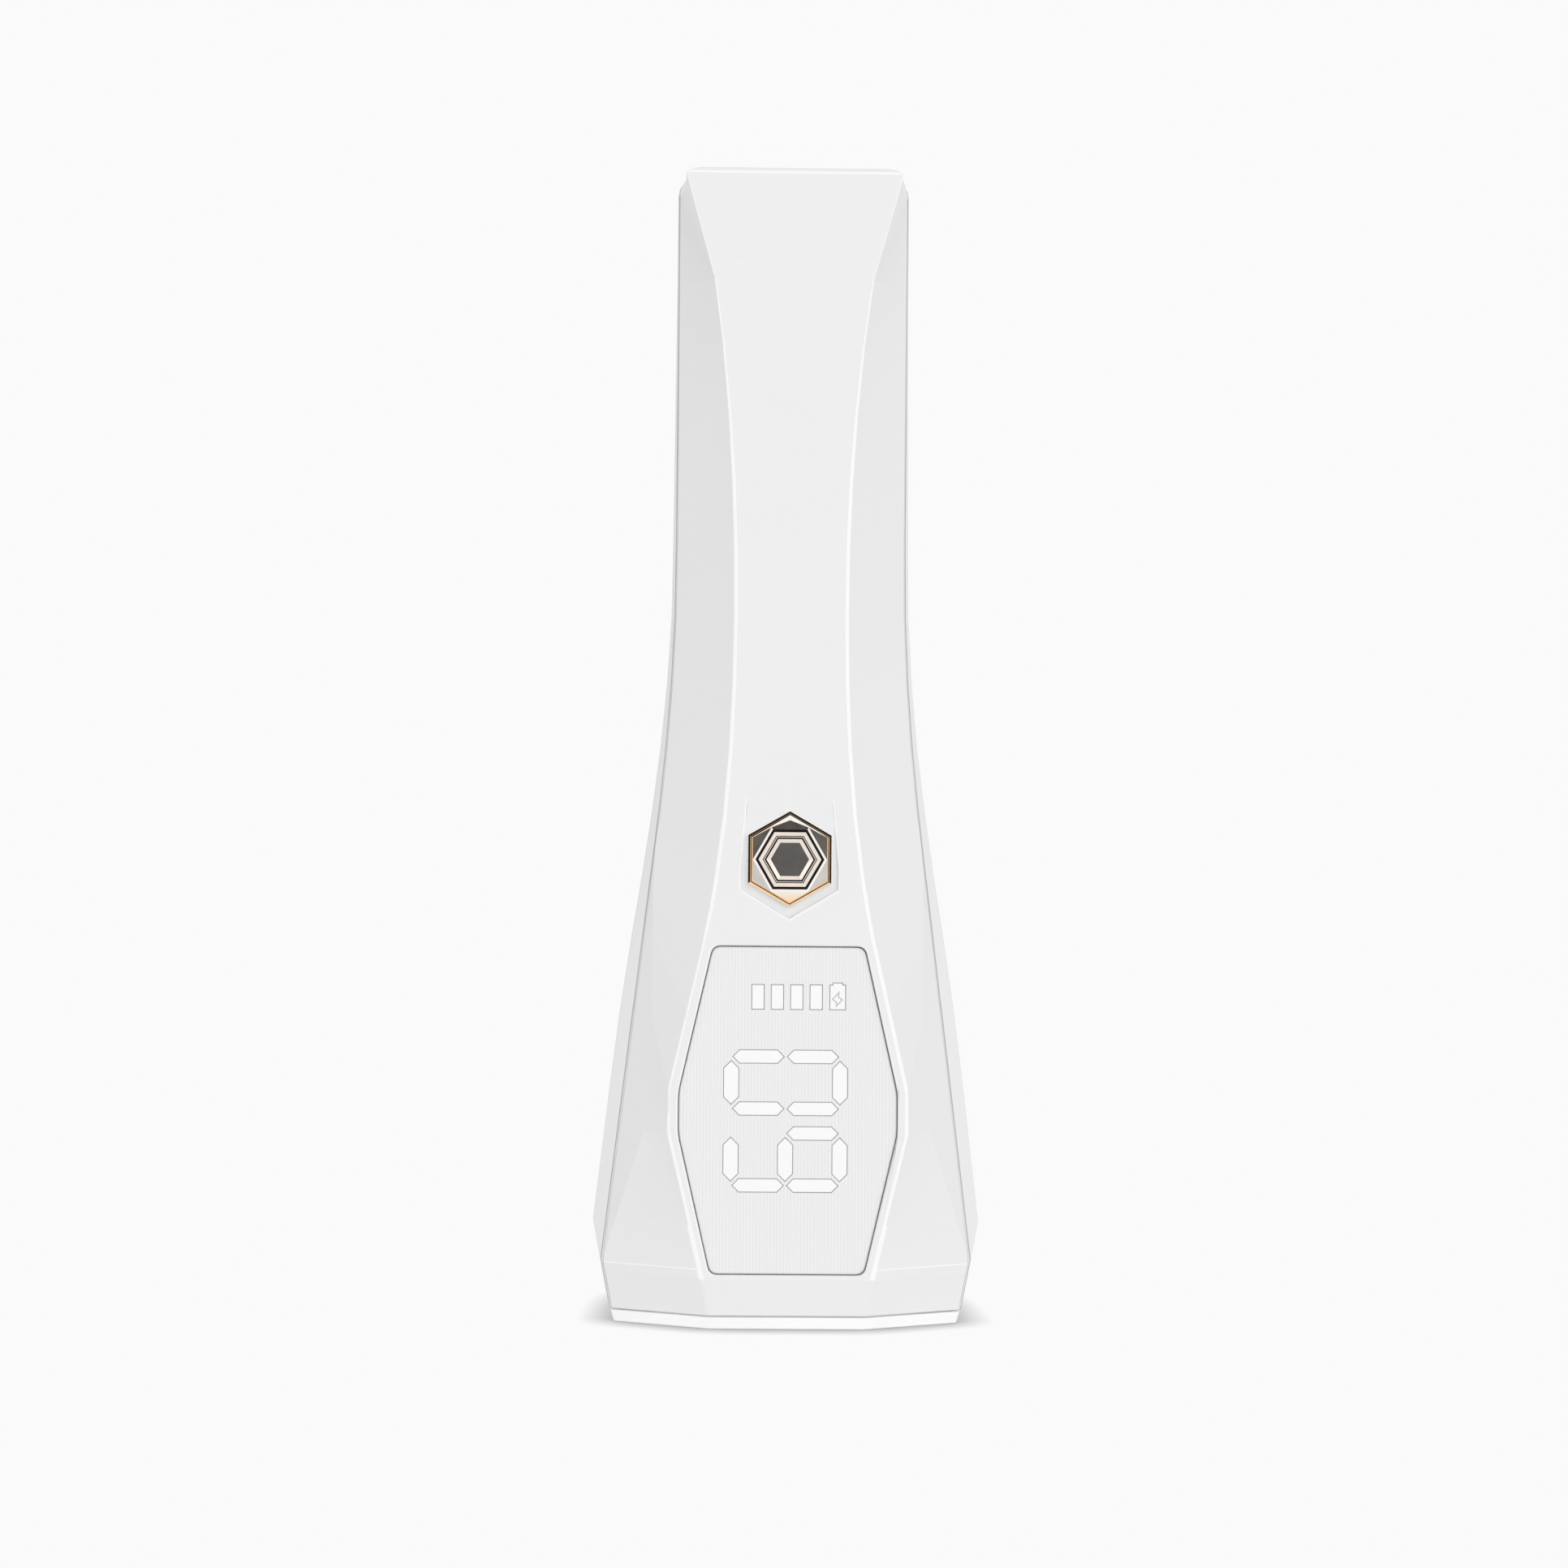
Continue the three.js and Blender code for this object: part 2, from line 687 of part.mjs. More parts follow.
const pointUp = Math.PI / 2;

// A hexagonal bar along Y with a corner up, from a front depth to a back depth
function hexBar(apothem, front, back, turn = pointUp) {
  return prism(outline(regular(6, apothem, turn, 0, buttonHeight)), -back, -front, facingFront);
}

function pocketPoints(grow) {
  const right = [
    [pocketHalf, buttonHeight - pocketShoulderDrop], [pocketHalf, buttonHeight - pocketWaistDrop],
    [pocketTipHalf, buttonHeight + pocketTipRise],
  ];
  const left = right.map(([x, z]) => [-x, z]).reverse();
  return insetOutline([[0, buttonHeight - pocketLowDrop], ...right, ...left], -grow);
}

function makeBezel() {
  const ring = hexBar(bezelApothem, bezelFront, buttonFloorDepth);
  const rimHole = hexBar(bezelApothem - bezelRimWall, bezelFront - overrun, shelfFront);
  const skirt = hexBar(bezelSkirtApothem, shelfFront, bezelBack);
  const bore = hexBar(bezelBoreApothem, bezelFront - overrun, bezelBack + overrun);
  return cut(ring.add(skirt), [rimHole, bore]);
}

// The gem: twelve facets between a hexagon with a corner up and one with a flat up
function makeGem(apothem, rimDepth, frontDepth) {
  const corner = apothem / Math.cos(Math.PI / 6);
  const ring = (radius, start, depth) => Array.from({ length: 6 }, (_, i) => {
    const angle = start + (Math.PI / 3) * i;
    return [radius * Math.cos(angle), radius * Math.sin(angle), -depth];
  });
  const rim = ring(corner, pointUp, rimDepth);
  const crown = ring(apothem - slideGap, pointUp + Math.PI / 6, frontDepth);
  const foot = ring(corner, pointUp, capHeadBack);
  const geometry = new THREE.BufferGeometry();
  const index = [];
  for (let i = 0; i < 6; i += 1) {
    const next = (i + 1) % 6;
    index.push(i, next, 6 + i, next, 6 + next, 6 + i);
    index.push(12 + i, 12 + next, i, 12 + next, next, i);
    index.push(18, 6 + i, 6 + next, 19, 12 + next, 12 + i);
  }
  const middle = [[0, 0, -frontDepth], [0, 0, -capHeadBack]];
  const points = [...rim, ...crown, ...foot, ...middle];
  geometry.setAttribute('position', new THREE.BufferAttribute(new Float32Array(points.flat()), 3));
  geometry.setIndex(index);
  geometry.translate(0, buttonHeight, 0);
  geometry.applyMatrix4(facingFront);
  return solidFrom(geometry);
}

// Stepped hexagonal relief in the face of the gem, as shares of its reach and of its crown
const reliefShares = [
  [0, 0.5], [0.32, 0.5], [0.36, 0.85], [0.52, 0.85], [0.56, 0.5], [0.62, 0.5],
  [0.7, 0.75], [0.76, 0.75], [0.84, 0.28], [0.9, 0],
];

function makeRelief(apothem) {
  const profile = reliefShares.map(([reach, depth]) => (
    new THREE.Vector2(reach * apothem, capFront + depth * capCrown)));
  const last = profile[profile.length - 1];
  profile.push(new THREE.Vector2(last.x, capFront - overrun));
  profile.push(new THREE.Vector2(0, capFront - overrun));
  const geometry = new THREE.LatheGeometry(profile.reverse(), 6, Math.PI / 2);
  geometry.translate(0, 0, buttonHeight);
  return solidFrom(geometry);
}

function makeButtonCap() {
  const apothem = bezelApothem - bezelRimWall - slideGap;
  const head = makeGem(apothem, capRimDepth, capFront).subtract(makeRelief(apothem));
  return head.add(hexBar(capNeckApothem, capHeadBack - slideGap, flangeFace));
}

function makeButtonPlunger() {
  const flange = hexBar(plungerFlangeApothem, flangeFace, flangeRear);
  return flange.add(barAlongY(plungerStemRadius, 0, buttonHeight, flangeRear, stemEnd));
}

function makeSwitchPin() {
  return barAlongY(switchPinRadius, 0, buttonHeight, stemEnd, switchFront + switchTall / 3);
}

function makeTactSwitch() {
  const body = prism(
    outline(rectangle(switchSide, switchSide, 0, buttonHeight)),
    -controlBoardFront, -switchFront, facingFront);
  const boreEnd = switchFront + switchTall / 3 + buttonTravel + fitGap;
  const bore = barAlongY(
    switchPinRadius + slideGap, 0, buttonHeight, switchFront - overrun, boreEnd);
  return body.subtract(bore);
}

// Screws, their bosses and their places

const screwShank = 1.1;
const screwHead = 2;
const screwHeadTall = 1.4;
const screwSlot = 0.6;
const screwSlotDeep = 0.7;
const screwSides = 8;
const bossWall = 1.5;
const bossRadius = screwShank + bossWall;
const screwPocket = screwHead + fitGap;
const caseScrewLength = 10;
const boardScrewLength = 4.5;
const lampScrewLength = 6;
const caseBossRadius = screwPocket + bossWall;
const boardSideGap = 0.8;
const caseJoint = 2;
const lampBoardWidth = 36;
const usbBoardWidth = 16;
const lowScrewHeight = 21;
const neckScrewRise = 4.5;
const neckScrewInset = 5.8;
const tailScrewDrop = 12;
const neckScrewHeight = controlBoardTop + neckScrewRise;
const caseScrewPlaces = [
  [lampBoardWidth / 2 + caseBossRadius + boardSideGap, lowScrewHeight],
  [seamHalf(neckScrewHeight) - neckScrewInset, neckScrewHeight],
  [usbBoardWidth / 2 + caseBossRadius + boardSideGap, totalHeight - tailScrewDrop],
].flatMap(([x, z]) => [[-x, z], [x, z]]);

// A round-headed screw along Y: its head's seat, and its shank towards the front or the back
function makeScrew([x, z], seat, length, towards) {
  const profile = [
    [0, -screwHeadTall], [screwHead - screwSlot, -screwHeadTall], [screwHead, -screwHeadTall / 2],
    [screwHead, 0], [screwShank, 0], [screwShank, length - screwShank], [0, length],
  ].map(([r, y]) => new THREE.Vector2(r, y));
  const body = solidFrom(new THREE.LatheGeometry(profile, screwSides));
  const slotY = -screwHeadTall + screwSlotDeep / 2 - overrun / 2;
  const slots = [[screwHead, screwSlot], [screwSlot, screwHead]].map(([sizeX, sizeZ]) => (
    block(sizeX, screwSlotDeep + overrun, sizeZ, 0, slotY, 0)));
  const solid = cut(body, slots);
  const turned = towards > 0 ? solid : solid.rotate([180, 0, 0]);
  return turned.translate([x, seat, z]);
}

function caseSeat(z) {
  return caseJoint + (z < frameTopHeight ? caseScrewLength / 2 : caseScrewLength / 3);
}

// The charging socket in the tail end

const portMiddleDepth = 1;
const portWidth = 8.94;
const portTall = 3.26;
const portCorner = 1.5;
const portSheet = 0.3;
const portLength = 7.3;
const portSink = 0.6;
const portFlare = 0.5;
const tongueWidth = 6.7;
const tongueThickness = 0.7;
const tongueSink = 1;
const tongueRoot = 2;
const usbBoardThickness = 1;
const usbBoardFront = portMiddleDepth + portTall / 2 + fitGap;
const usbBoardBack = usbBoardFront + usbBoardThickness;
const portTop = totalHeight - portSink;
const portFoot = portTop - portLength;
const usbRibSpread = 5.5;

function portPoints(grow) {
  const middle = rectangle(portWidth, portTall, 0, portMiddleDepth);
  return insetOutline(middle, -grow);
}

function makeUsbShell() {
  const tube = prism(outline(portPoints(0), portCorner), portFoot, portTop);
  const bore = prism(
    outline(portPoints(-portSheet), portCorner - portSheet), portFoot - overrun, portTop + overrun);
  return tube.subtract(bore);
}

function makeUsbTongue() {
  const inner = -portSheet - slideGap;
  const root = prism(outline(portPoints(inner), portCorner + inner), portFoot, portFoot + tongueRoot);
  const tongue = outline(rectangle(tongueWidth, tongueThickness, 0, portMiddleDepth));
  return root.add(prism(tongue, portFoot + tongueRoot / 2, portTop - tongueSink));
}

function makeUsbBoard() {
  const middleZ = (usbBoardTop + usbBoardFoot) / 2;
  const middleY = (usbBoardFront + usbBoardBack) / 2;
  const board = block(usbBoardWidth, usbBoardThickness, usbBoardTall, 0, middleY, middleZ);
  const chipTall = usbBoardThickness;
  const chip = block(
    usbBoardWidth / 4, usbBoardThickness + chipTall, usbBoardTall / 5,
    0, middleY - chipTall / 2, usbBoardFoot + usbBoardTall / 5);
  return board.add(chip);
}

// The cell in the handle, its nickel tabs and its foam pads

const cellTipRadius = 3.2;
const cellEdge = 0.6;
const tabWidth = 7;
const tabReach = 6.5;
const padWidth = 9;
const padTall = 7;
const ribPlaceShares = [0.14, 0.5, 0.86];
const padPlaceShares = [0.32, 0.68];
const frontRibEnd = seamHandleDepth - lipHeight;
const backRibStart = 0.5;

function cellHeight(share) {
  return cellFoot + cellLength * share;
}

function makeCell() {
  const profile = [
    [0, 0], [cellRadius - cellEdge, 0], [cellRadius, cellEdge],
    [cellRadius, cellLength - cellEdge], [cellRadius - cellEdge, cellLength], [0, cellLength],
  ].map(([r, y]) => new THREE.Vector2(r, y));
  const geometry = new THREE.LatheGeometry(profile, roundSides);
  geometry.rotateX(Math.PI / 2);
  geometry.translate(0, 0, cellFoot);
  return solidFrom(geometry);
}

// A nickel strip welded to one end of the cell, reaching to one side for its lead
function makeTab(foot, side) {
  const shape = outline([
    [-cellTipRadius, -tabWidth / 2], [cellRadius + tabReach / 2, -tabWidth / 4],
    [cellRadius + tabReach / 2, tabWidth / 4], [-cellTipRadius, tabWidth / 2],
  ].map(([x, y]) => [side * x, y]));
  return prism(shape, foot, foot + tabThickness);
}

function makePad(share) {
  const front = cellRadius + fitGap;
  return block(
    padWidth, padThickness, padTall, 0, front + padThickness / 2, cellHeight(share));
}

// The lamp in the back of the head: clear cover, reflector tray, board with its light chips and
// heat spreader, all on four posts of the back shell

const lampWidth = 34;
const lampTall = 42;
const lampCornerRadius = 4;
const coverSink = 0.4;
const coverFlange = 1.2;
const coverFlangeThickness = 1;
const trayThickness = 2.6;
const trayMouth = 4.4;
const trayThroat = 2.6;
const trayPitch = 10;
const trayColumns = 3;
const trayRows = 4;
const lampBoardThickness = 1.2;
const lampBoardMargin = 7;
const lampBoardRaise = 2;
const ledWide = 3.5;
const ledTall = 2.8;
const ledThickness = 0.7;
const ledLensThickness = 0.4;
const spreaderThickness = 1.5;
const spreaderFinTall = 3;
const spreaderFinThickness = 1;
const spreaderFins = 7;
const postSpread = 13;
const footRimTall = 3;

const lampBoardTall = lampTall + 2 * lampBoardMargin;
const lampMiddleHeight = footThickness + footRimTall + lampBoardRaise + lampBoardTall / 2;
const backInner = backHeadDepth - wall;
const coverFront = backHeadDepth - coverSink;
const coverFlangeFront = backInner - fitGap;
const coverBack = coverFlangeFront - coverFlangeThickness;
const trayFront = coverBack - fitGap;
const lampBoardFront = trayFront - trayThickness;
const lampBoardBack = lampBoardFront - lampBoardThickness;
const spreaderFront = lampBoardBack - fitGap;
const spreaderBack = spreaderFront - spreaderThickness;
const postHeight = lampBoardTall / 2 - bossRadius;
const lampScrewPlaces = [[-1, -1], [1, -1], [-1, 1], [1, 1]]
  .map(([x, z]) => [x * postSpread, lampMiddleHeight + z * postHeight]);

// A plate that faces the back, from its inner to its outer depth
function backPlate(points, inner, outer, radius = 0) {
  return prism(outline(points, radius), inner, outer, facingBack);
}

function lampPoints(grow) {
  return insetOutline(rectangle(lampWidth, lampTall, 0, lampMiddleHeight), -grow);
}

function ledPlaces() {
  const places = [];
  for (let row = 0; row < trayRows; row += 1) {
    for (let column = 0; column < trayColumns; column += 1) {
      places.push([
        trayPitch * (column - (trayColumns - 1) / 2),
        lampMiddleHeight + trayPitch * (row - (trayRows - 1) / 2),
      ]);
    }
  }
  return places;
}

function makeLampCover() {
  const plug = backPlate(lampPoints(-slideGap), coverFlangeFront, coverFront, lampCornerRadius);
  return plug.add(backPlate(lampPoints(coverFlange), coverBack, coverFlangeFront, lampCornerRadius));
}

function makeTray() {
  const plate = backPlate(lampPoints(coverFlange), lampBoardFront, trayFront, lampCornerRadius);
  const cups = ledPlaces().map(([x, z]) => {
    const profile = [
      [0, lampBoardFront - overrun], [trayThroat, lampBoardFront - overrun],
      [trayThroat, lampBoardFront], [trayMouth, trayFront], [trayMouth, trayFront + overrun],
      [0, trayFront + overrun],
    ].map(([r, y]) => new THREE.Vector2(r, y));
    const geometry = new THREE.LatheGeometry(profile, smallSides);
    geometry.translate(x, 0, z);
    return solidFrom(geometry);
  });
  return cut(plate, cups);
}

function makeLampBoard() {
  const points = rectangle(lampBoardWidth, lampBoardTall, 0, lampMiddleHeight);
  const board = backPlate(points, lampBoardBack, lampBoardFront);
  return cut(board, lampScrewPlaces.map(([x, z]) => (
    barAlongY(screwShank + slideGap, x, z, lampBoardBack - overrun, lampBoardFront + overrun))));
}

function makeLed([x, z]) {
  const base = backPlate(
    rectangle(ledWide, ledTall, -x, z), lampBoardFront, lampBoardFront + ledThickness);
  const lens = backPlate(
    circle(ledTall / 2 - slideGap, smallSides, -x, z),
    lampBoardFront + ledThickness / 2, lampBoardFront + ledThickness + ledLensThickness);
  return base.add(lens);
}

function makeSpreader() {
  const points = rectangle(lampBoardWidth, lampBoardTall, 0, lampMiddleHeight);
  const plate = backPlate(points, spreaderBack, spreaderFront);
  const finTall = lampBoardTall - 4 * bossRadius;
  const gap = (lampBoardWidth - spreaderFinThickness) / (spreaderFins - 1);
  const fins = Array.from({ length: spreaderFins }, (_, i) => backPlate(
    rectangle(spreaderFinThickness, finTall, gap * (i - (spreaderFins - 1) / 2), lampMiddleHeight),
    spreaderBack - spreaderFinTall, spreaderBack + spreaderThickness / 2));
  return cut(join([plate, ...fins]), lampScrewPlaces.map(([x, z]) => (
    barAlongY(screwShank + slideGap, x, z, spreaderBack - overrun, spreaderFront + overrun))));
}

// The control board behind the display and the button

const controlBoardThickness = 1.2;
const controlBoardHalf = 13.5;
const controlBoardFoot = 14;
const controlBoardBack = controlBoardFront + controlBoardThickness;
const boardScrewSpread = 10.3;
const boardScrewRise = 3.2;
const boardScrewDrop = 4;
const boardScrewHeights = [frameTopHeight + boardScrewRise, controlBoardTop - boardScrewDrop];
const boardScrewPlaces = boardScrewHeights
  .flatMap((z) => [[-boardScrewSpread, z], [boardScrewSpread, z]]);
const headerWidth = 12;
const headerTall = 2.5;
const headerRise = 4;
const headerHeight = controlBoardFoot + headerRise;
const tallChip = 2;

// Chips on the back of the control board: middle across and up, width and height, as shares of
// the board's half width and of its height
const chipPlaceShares = [
  [0, 0.2, 0.55, 0.09], [-0.45, 0.38, 0.3, 0.05], [0.4, 0.42, 0.42, 0.07], [0.1, 0.6, 0.25, 0.04],
  [-0.5, 0.72, 0.3, 0.05],
];

function makeControlBoard() {
  const tall = controlBoardTop - controlBoardFoot;
  const middleZ = (controlBoardTop + controlBoardFoot) / 2;
  const middleY = (controlBoardFront + controlBoardBack) / 2;
  const board = block(2 * controlBoardHalf, controlBoardThickness, tall, 0, middleY, middleZ);
  const chips = chipPlaceShares.map(([across, up, width, height]) => block(
    width * controlBoardHalf, controlBoardThickness + tallChip, height * tall,
    across * controlBoardHalf, middleY + tallChip / 2, controlBoardFoot + up * tall));
  const holes = boardScrewPlaces.map(([x, z]) => barAlongY(
    screwShank + slideGap, x, z, controlBoardFront - overrun, controlBoardBack + overrun));
  return cut(join([board, ...chips]), holes);
}

// The pin header between the display board and the control board
function makeHeader() {
  const alongSlope = upSlope(headerHeight) - frameUp.y * displayBoardBack;
  const back = new THREE.Vector3(0, alongSlope, displayBoardBack - fitGap).applyMatrix4(onFrame);
  const front = back.y + headerTall * frameUp.y;
  return prism(
    outline(rectangle(headerWidth, headerTall, 0, headerHeight)),
    -controlBoardFront + fitGap, -front, facingFront);
}

// The shells, the foot and what is moulded on them

const padMargin = 1.6;
const footTopInset = 0.25;
const footBottomInset = 0.75;
const footRimWall = 1.2;

function onRoot(solid) {
  return solid.intersect(rootForm);
}

// A level rib across one shell, open round the cell
function cellRib(z, from, to) {
  const plate = block(2 * farReach, to - from, ribThickness, 0, (from + to) / 2, z);
  const room = prism(
    outline(circle(cellRadius + fitGap)), z - ribThickness, z + ribThickness);
  return onRoot(plate.subtract(room));
}

// A level stop beyond one end of the cell
function cellStop(z) {
  const back = backHandleDepth;
  return onRoot(block(tabWidth, back - backRibStart, ribThickness, 0, (back + backRibStart) / 2, z));
}

function makeFrontShell() {
  const bosses = [
    ...caseScrewPlaces.map(([x, z]) => (
      onRoot(barAlongY(bossRadius, x, z, -farReach, caseJoint - fitGap)))),
    ...boardScrewPlaces.map(([x, z]) => (
      onRoot(barAlongY(bossRadius, x, z, -farReach, controlBoardFront - fitGap)))),
  ];
  const ribs = ribPlaceShares.map((share) => cellRib(cellHeight(share), -farReach, frontRibEnd));
  const buttonFloor = onRoot(prism(
    outline(pocketPoints(padMargin)), -buttonFloorDepth - buttonPad, -buttonFloorDepth + overrun,
    facingFront));
  const skin = outerForm.subtract(cavityForm).intersect(seamSide(-seamGap / 2, -1));
  const shell = join([skin, ...bosses, ...ribs, buttonFloor]);
  const rebate = bodyForm(wall - lipThickness - slideGap, bodyBottom - overrun, totalHeight - wall / 2)
    .subtract(bodyForm(wall + slideGap, bodyBottom - 2 * overrun, totalHeight - wall - slideGap))
    .intersect(seamSide(-lipHeight - fitGap, 1)).intersect(seamSide(overrun, -1));
  const caseHoles = caseScrewPlaces.map(([x, z]) => barAlongY(
    screwShank + slideGap, x, z, caseSeat(z) - caseScrewLength - fitGap, farReach));
  const boardHoles = boardScrewPlaces.map(([x, z]) => barAlongY(
    screwShank + slideGap, x, z, controlBoardBack - boardScrewLength - fitGap, 0));
  const window = onFramePrism(windowPoints(0), -wall - overrun, overrun, windowCornerRadius);
  const pocket = prism(outline(pocketPoints(0)), -buttonFloorDepth, farReach, facingFront);
  const buttonHole = hexBar(bezelSkirtApothem + fitGap, -farReach, bezelBack);
  return cut(shell, [rebate, ...caseHoles, ...boardHoles, window, pocket, buttonHole]);
}

function makeBackShell() {
  const bosses = caseScrewPlaces.map(([x, z]) => (
    onRoot(barAlongY(caseBossRadius, x, z, caseJoint, farReach))));
  const posts = lampScrewPlaces.map(([x, z]) => (
    onRoot(barAlongY(bossRadius, x, z, lampBoardFront + fitGap, farReach))));
  const ribs = ribPlaceShares.map((share) => cellRib(cellHeight(share), backRibStart, farReach));
  const stopStep = tabThickness + fitGap + ribThickness / 2;
  const stops = [cellFoot - stopStep, cellTop + stopStep].map(cellStop);
  const usbRibTall = usbBoardTall - overrun;
  const usbRibs = [-usbRibSpread, usbRibSpread].map((x) => onRoot(block(
    ribThickness, farReach, usbRibTall, x, usbBoardBack + fitGap + farReach / 2,
    usbBoardTop - usbRibTall / 2)));
  const skin = outerForm.subtract(cavityForm).intersect(seamSide(seamGap / 2, 1));
  const shell = join([skin, ...bosses, ...posts, ...ribs, ...stops, ...usbRibs]);
  const lipForm = bodyForm(wall - lipThickness, bodyBottom, totalHeight - wall / 2 - slideGap);
  const lip = lipForm.subtract(cavityForm)
    .intersect(seamSide(-lipHeight, 1)).intersect(seamSide(overrun, -1));
  const holes = caseScrewPlaces.flatMap(([x, z]) => [
    barAlongY(screwShank + slideGap, x, z, 0, farReach),
    barAlongY(screwPocket, x, z, caseSeat(z), farReach),
  ]);
  const postHoles = lampScrewPlaces.map(([x, z]) => barAlongY(
    screwShank + slideGap, x, z, 0, spreaderBack + lampScrewLength + fitGap));
  const window = backPlate(lampPoints(0), backInner - overrun, farReach, lampCornerRadius);
  const port = prism(
    outline(portPoints(slideGap), portCorner), portFoot, totalHeight + overrun);
  const flare = loft([
    { z: totalHeight - portFlare, points: portPoints(slideGap) },
    { z: totalHeight + overrun, points: portPoints(slideGap + portFlare + overrun) },
  ]);
  return cut(shell.add(lip), [...holes, ...postHoles, window, port, flare]);
}

function makeFoot() {
  const edge = bodyOutline(bodyBottom);
  const plate = loft([
    { z: 0, points: insetOutline(edge, footBottomInset) },
    { z: footThickness, points: insetOutline(edge, footTopInset) },
  ]);
  const outerRim = bodyForm(wall + fitGap, footThickness - overrun, footThickness + footRimTall);
  const innerRim = bodyForm(
    wall + fitGap + footRimWall, footThickness - 2 * overrun, footThickness + footRimTall + overrun);
  const above = block(
    4 * flankWidestHalf, 4 * flankWidestHalf, totalHeight, 0, 0,
    footThickness / 2 + totalHeight / 2);
  return plate.add(outerRim.subtract(innerRim).intersect(above));
}

// Leads inside the housing, round and soft, each along its own route

const leadRadius = 0.65;
const cableRadius = 0.9;
const leadSides = 6;
const leadSteps = 22;
const leadDepth = -2.1;
const leadClear = 2.75;
const neckLeadClear = 1.15;
const leadSide = cellRadius + leadClear;
const neckLeadSide = cellRadius + neckLeadClear;
const leadEndStep = 2.5;
const leadEndDrop = 1.8;
const leadLift = 2.5;
const cableEndDrop = 0.8;
const cableBendDrop = 1.3;
const cableBendStep = 1.5;
const cableTurnDrop = 2.3;

function lead(points, radius) {
  const path = new THREE.CatmullRomCurve3(points.map((point) => new THREE.Vector3(...point)));
  const section = outline(circle(radius, leadSides));
  return solidFrom(new THREE.ExtrudeGeometry(section, { steps: leadSteps, extrudePath: path }));
}

// Where a lead of a given radius ends, just clear of the back of the control board
function boardEnd(radius) {
  return controlBoardBack + fitGap + radius;
}

const leadEndSide = boardScrewSpread - leadEndStep;
const leadEndHeight = controlBoardTop - leadEndDrop;

function makeRedLead() {
  const top = cellTop - fitGap;
  return lead([
    [leadSide - leadRadius, leadDepth / 2, top], [leadSide, leadDepth, top - cellRadius],
    [leadSide, leadDepth, (cellTop + cellFoot) / 2], [leadSide, leadDepth, cellFoot + cellRadius],
    [neckLeadSide, leadDepth, cellFoot],
    [cellRadius, boardEnd(2.4 * leadRadius), controlBoardTop + leadLift],
    [leadEndSide, boardEnd(leadRadius), leadEndHeight],
  ], leadRadius);
}

function makeBlackLead() {
  const top = cellFoot - tabThickness - fitGap;
  return lead([
    [-cellRadius, leadDepth / 2, top], [-cellRadius, leadDepth, top - cellRadius / 3],
    [-leadEndSide, boardEnd(leadRadius), leadEndHeight],
  ], leadRadius);
}

function makeUsbLead() {
  const top = usbBoardFront - fitGap - cableRadius;
  return lead([
    [-usbRibSpread, top, usbBoardFoot + 2 * cableRadius],
    [-usbRibSpread - cableBendStep, top / 2, usbBoardFoot - cableBendDrop],
    [-leadSide, leadDepth, cellTop - cableTurnDrop], [-leadSide, leadDepth, (cellTop + cellFoot) / 2],
    [-leadSide, leadDepth, cellFoot + cellRadius], [-neckLeadSide, leadDepth - leadRadius, cellFoot],
    [-neckLeadSide, boardEnd(cableRadius), controlBoardTop - cableEndDrop],
  ], cableRadius);
}

// The lamp's lead, as shares of the way across, back and up the lamp board
const lampLeadShares = [
  [0.475, 0, 0.411], [0.739, 0.183, 0.375], [1.034, 0.553, 0.268], [1.034, 0.897, 0.196],
  [1, 1, 0.143],
];

function makeLampLead() {
  const side = lampBoardWidth / 2 + fitGap + leadRadius;
  const [start, end] = [boardEnd(leadRadius), (lampBoardFront + lampBoardBack) / 2];
  return lead(lampLeadShares.map(([across, back, up]) => [
    across * side, start + back * (end - start), lampMiddleHeight + up * lampBoardTall,
  ]), leadRadius);
}

// Finishes, as colour, roughness and metalness
const finishes = {
  shell: [0xf2f2f3, 0.35, 0],
  face: [0xe6e6e7, 0.3, 0],
  light: [0xfbfbfb, 0.4, 0],
  gold: [0xd8a562, 0.25, 1],
  chrome: [0xb9b4aa, 0.15, 1],
  darkPlastic: [0x2a2b2d, 0.6, 0],
  brass: [0xc9a55a, 0.4, 1],
  board: [0x1f5c3a, 0.55, 0],
  whiteBoard: [0xe9ebec, 0.5, 0],
  aluminium: [0xc3c6c9, 0.4, 1],
  steel: [0xa9adb1, 0.35, 1],
  mirror: [0xdfe2e4, 0.12, 1],
  clear: [0xf4f6f8, 0.12, 0],
  led: [0xd9c25e, 0.35, 0],
  wrap: [0x3f7f9e, 0.45, 0],
  foam: [0x3c3d40, 0.95, 0],
  redWire: [0xb3271e, 0.5, 0],
  blackWire: [0x1b1b1c, 0.5, 0],
};

const lamp = new THREE.Group();

function place(name, solid, finish) {
  const [color, roughness, metalness] = finishes[finish];
  const material = new THREE.MeshStandardMaterial({ color, roughness, metalness });
  const mesh = new THREE.Mesh(geometryFrom(solid), material);
  mesh.name = name;
  lamp.add(mesh);
}

place('front_shell', makeFrontShell(), 'shell');
place('back_shell', makeBackShell(), 'shell');
place('foot_plate', makeFoot(), 'shell');

place('display_face', makeDisplayFace(), 'face');
place('segment_guide', makeSegmentGuide(), 'light');
place('display_board', makeDisplayBoard(), 'board');
place('display_header', makeHeader(), 'darkPlastic');

place('button_bezel', makeBezel(), 'gold');
place('button_cap', makeButtonCap(), 'chrome');
place('button_plunger', makeButtonPlunger(), 'darkPlastic');
place('switch_pin', makeSwitchPin(), 'brass');
place('tact_switch', makeTactSwitch(), 'darkPlastic');
place('control_board', makeControlBoard(), 'board');

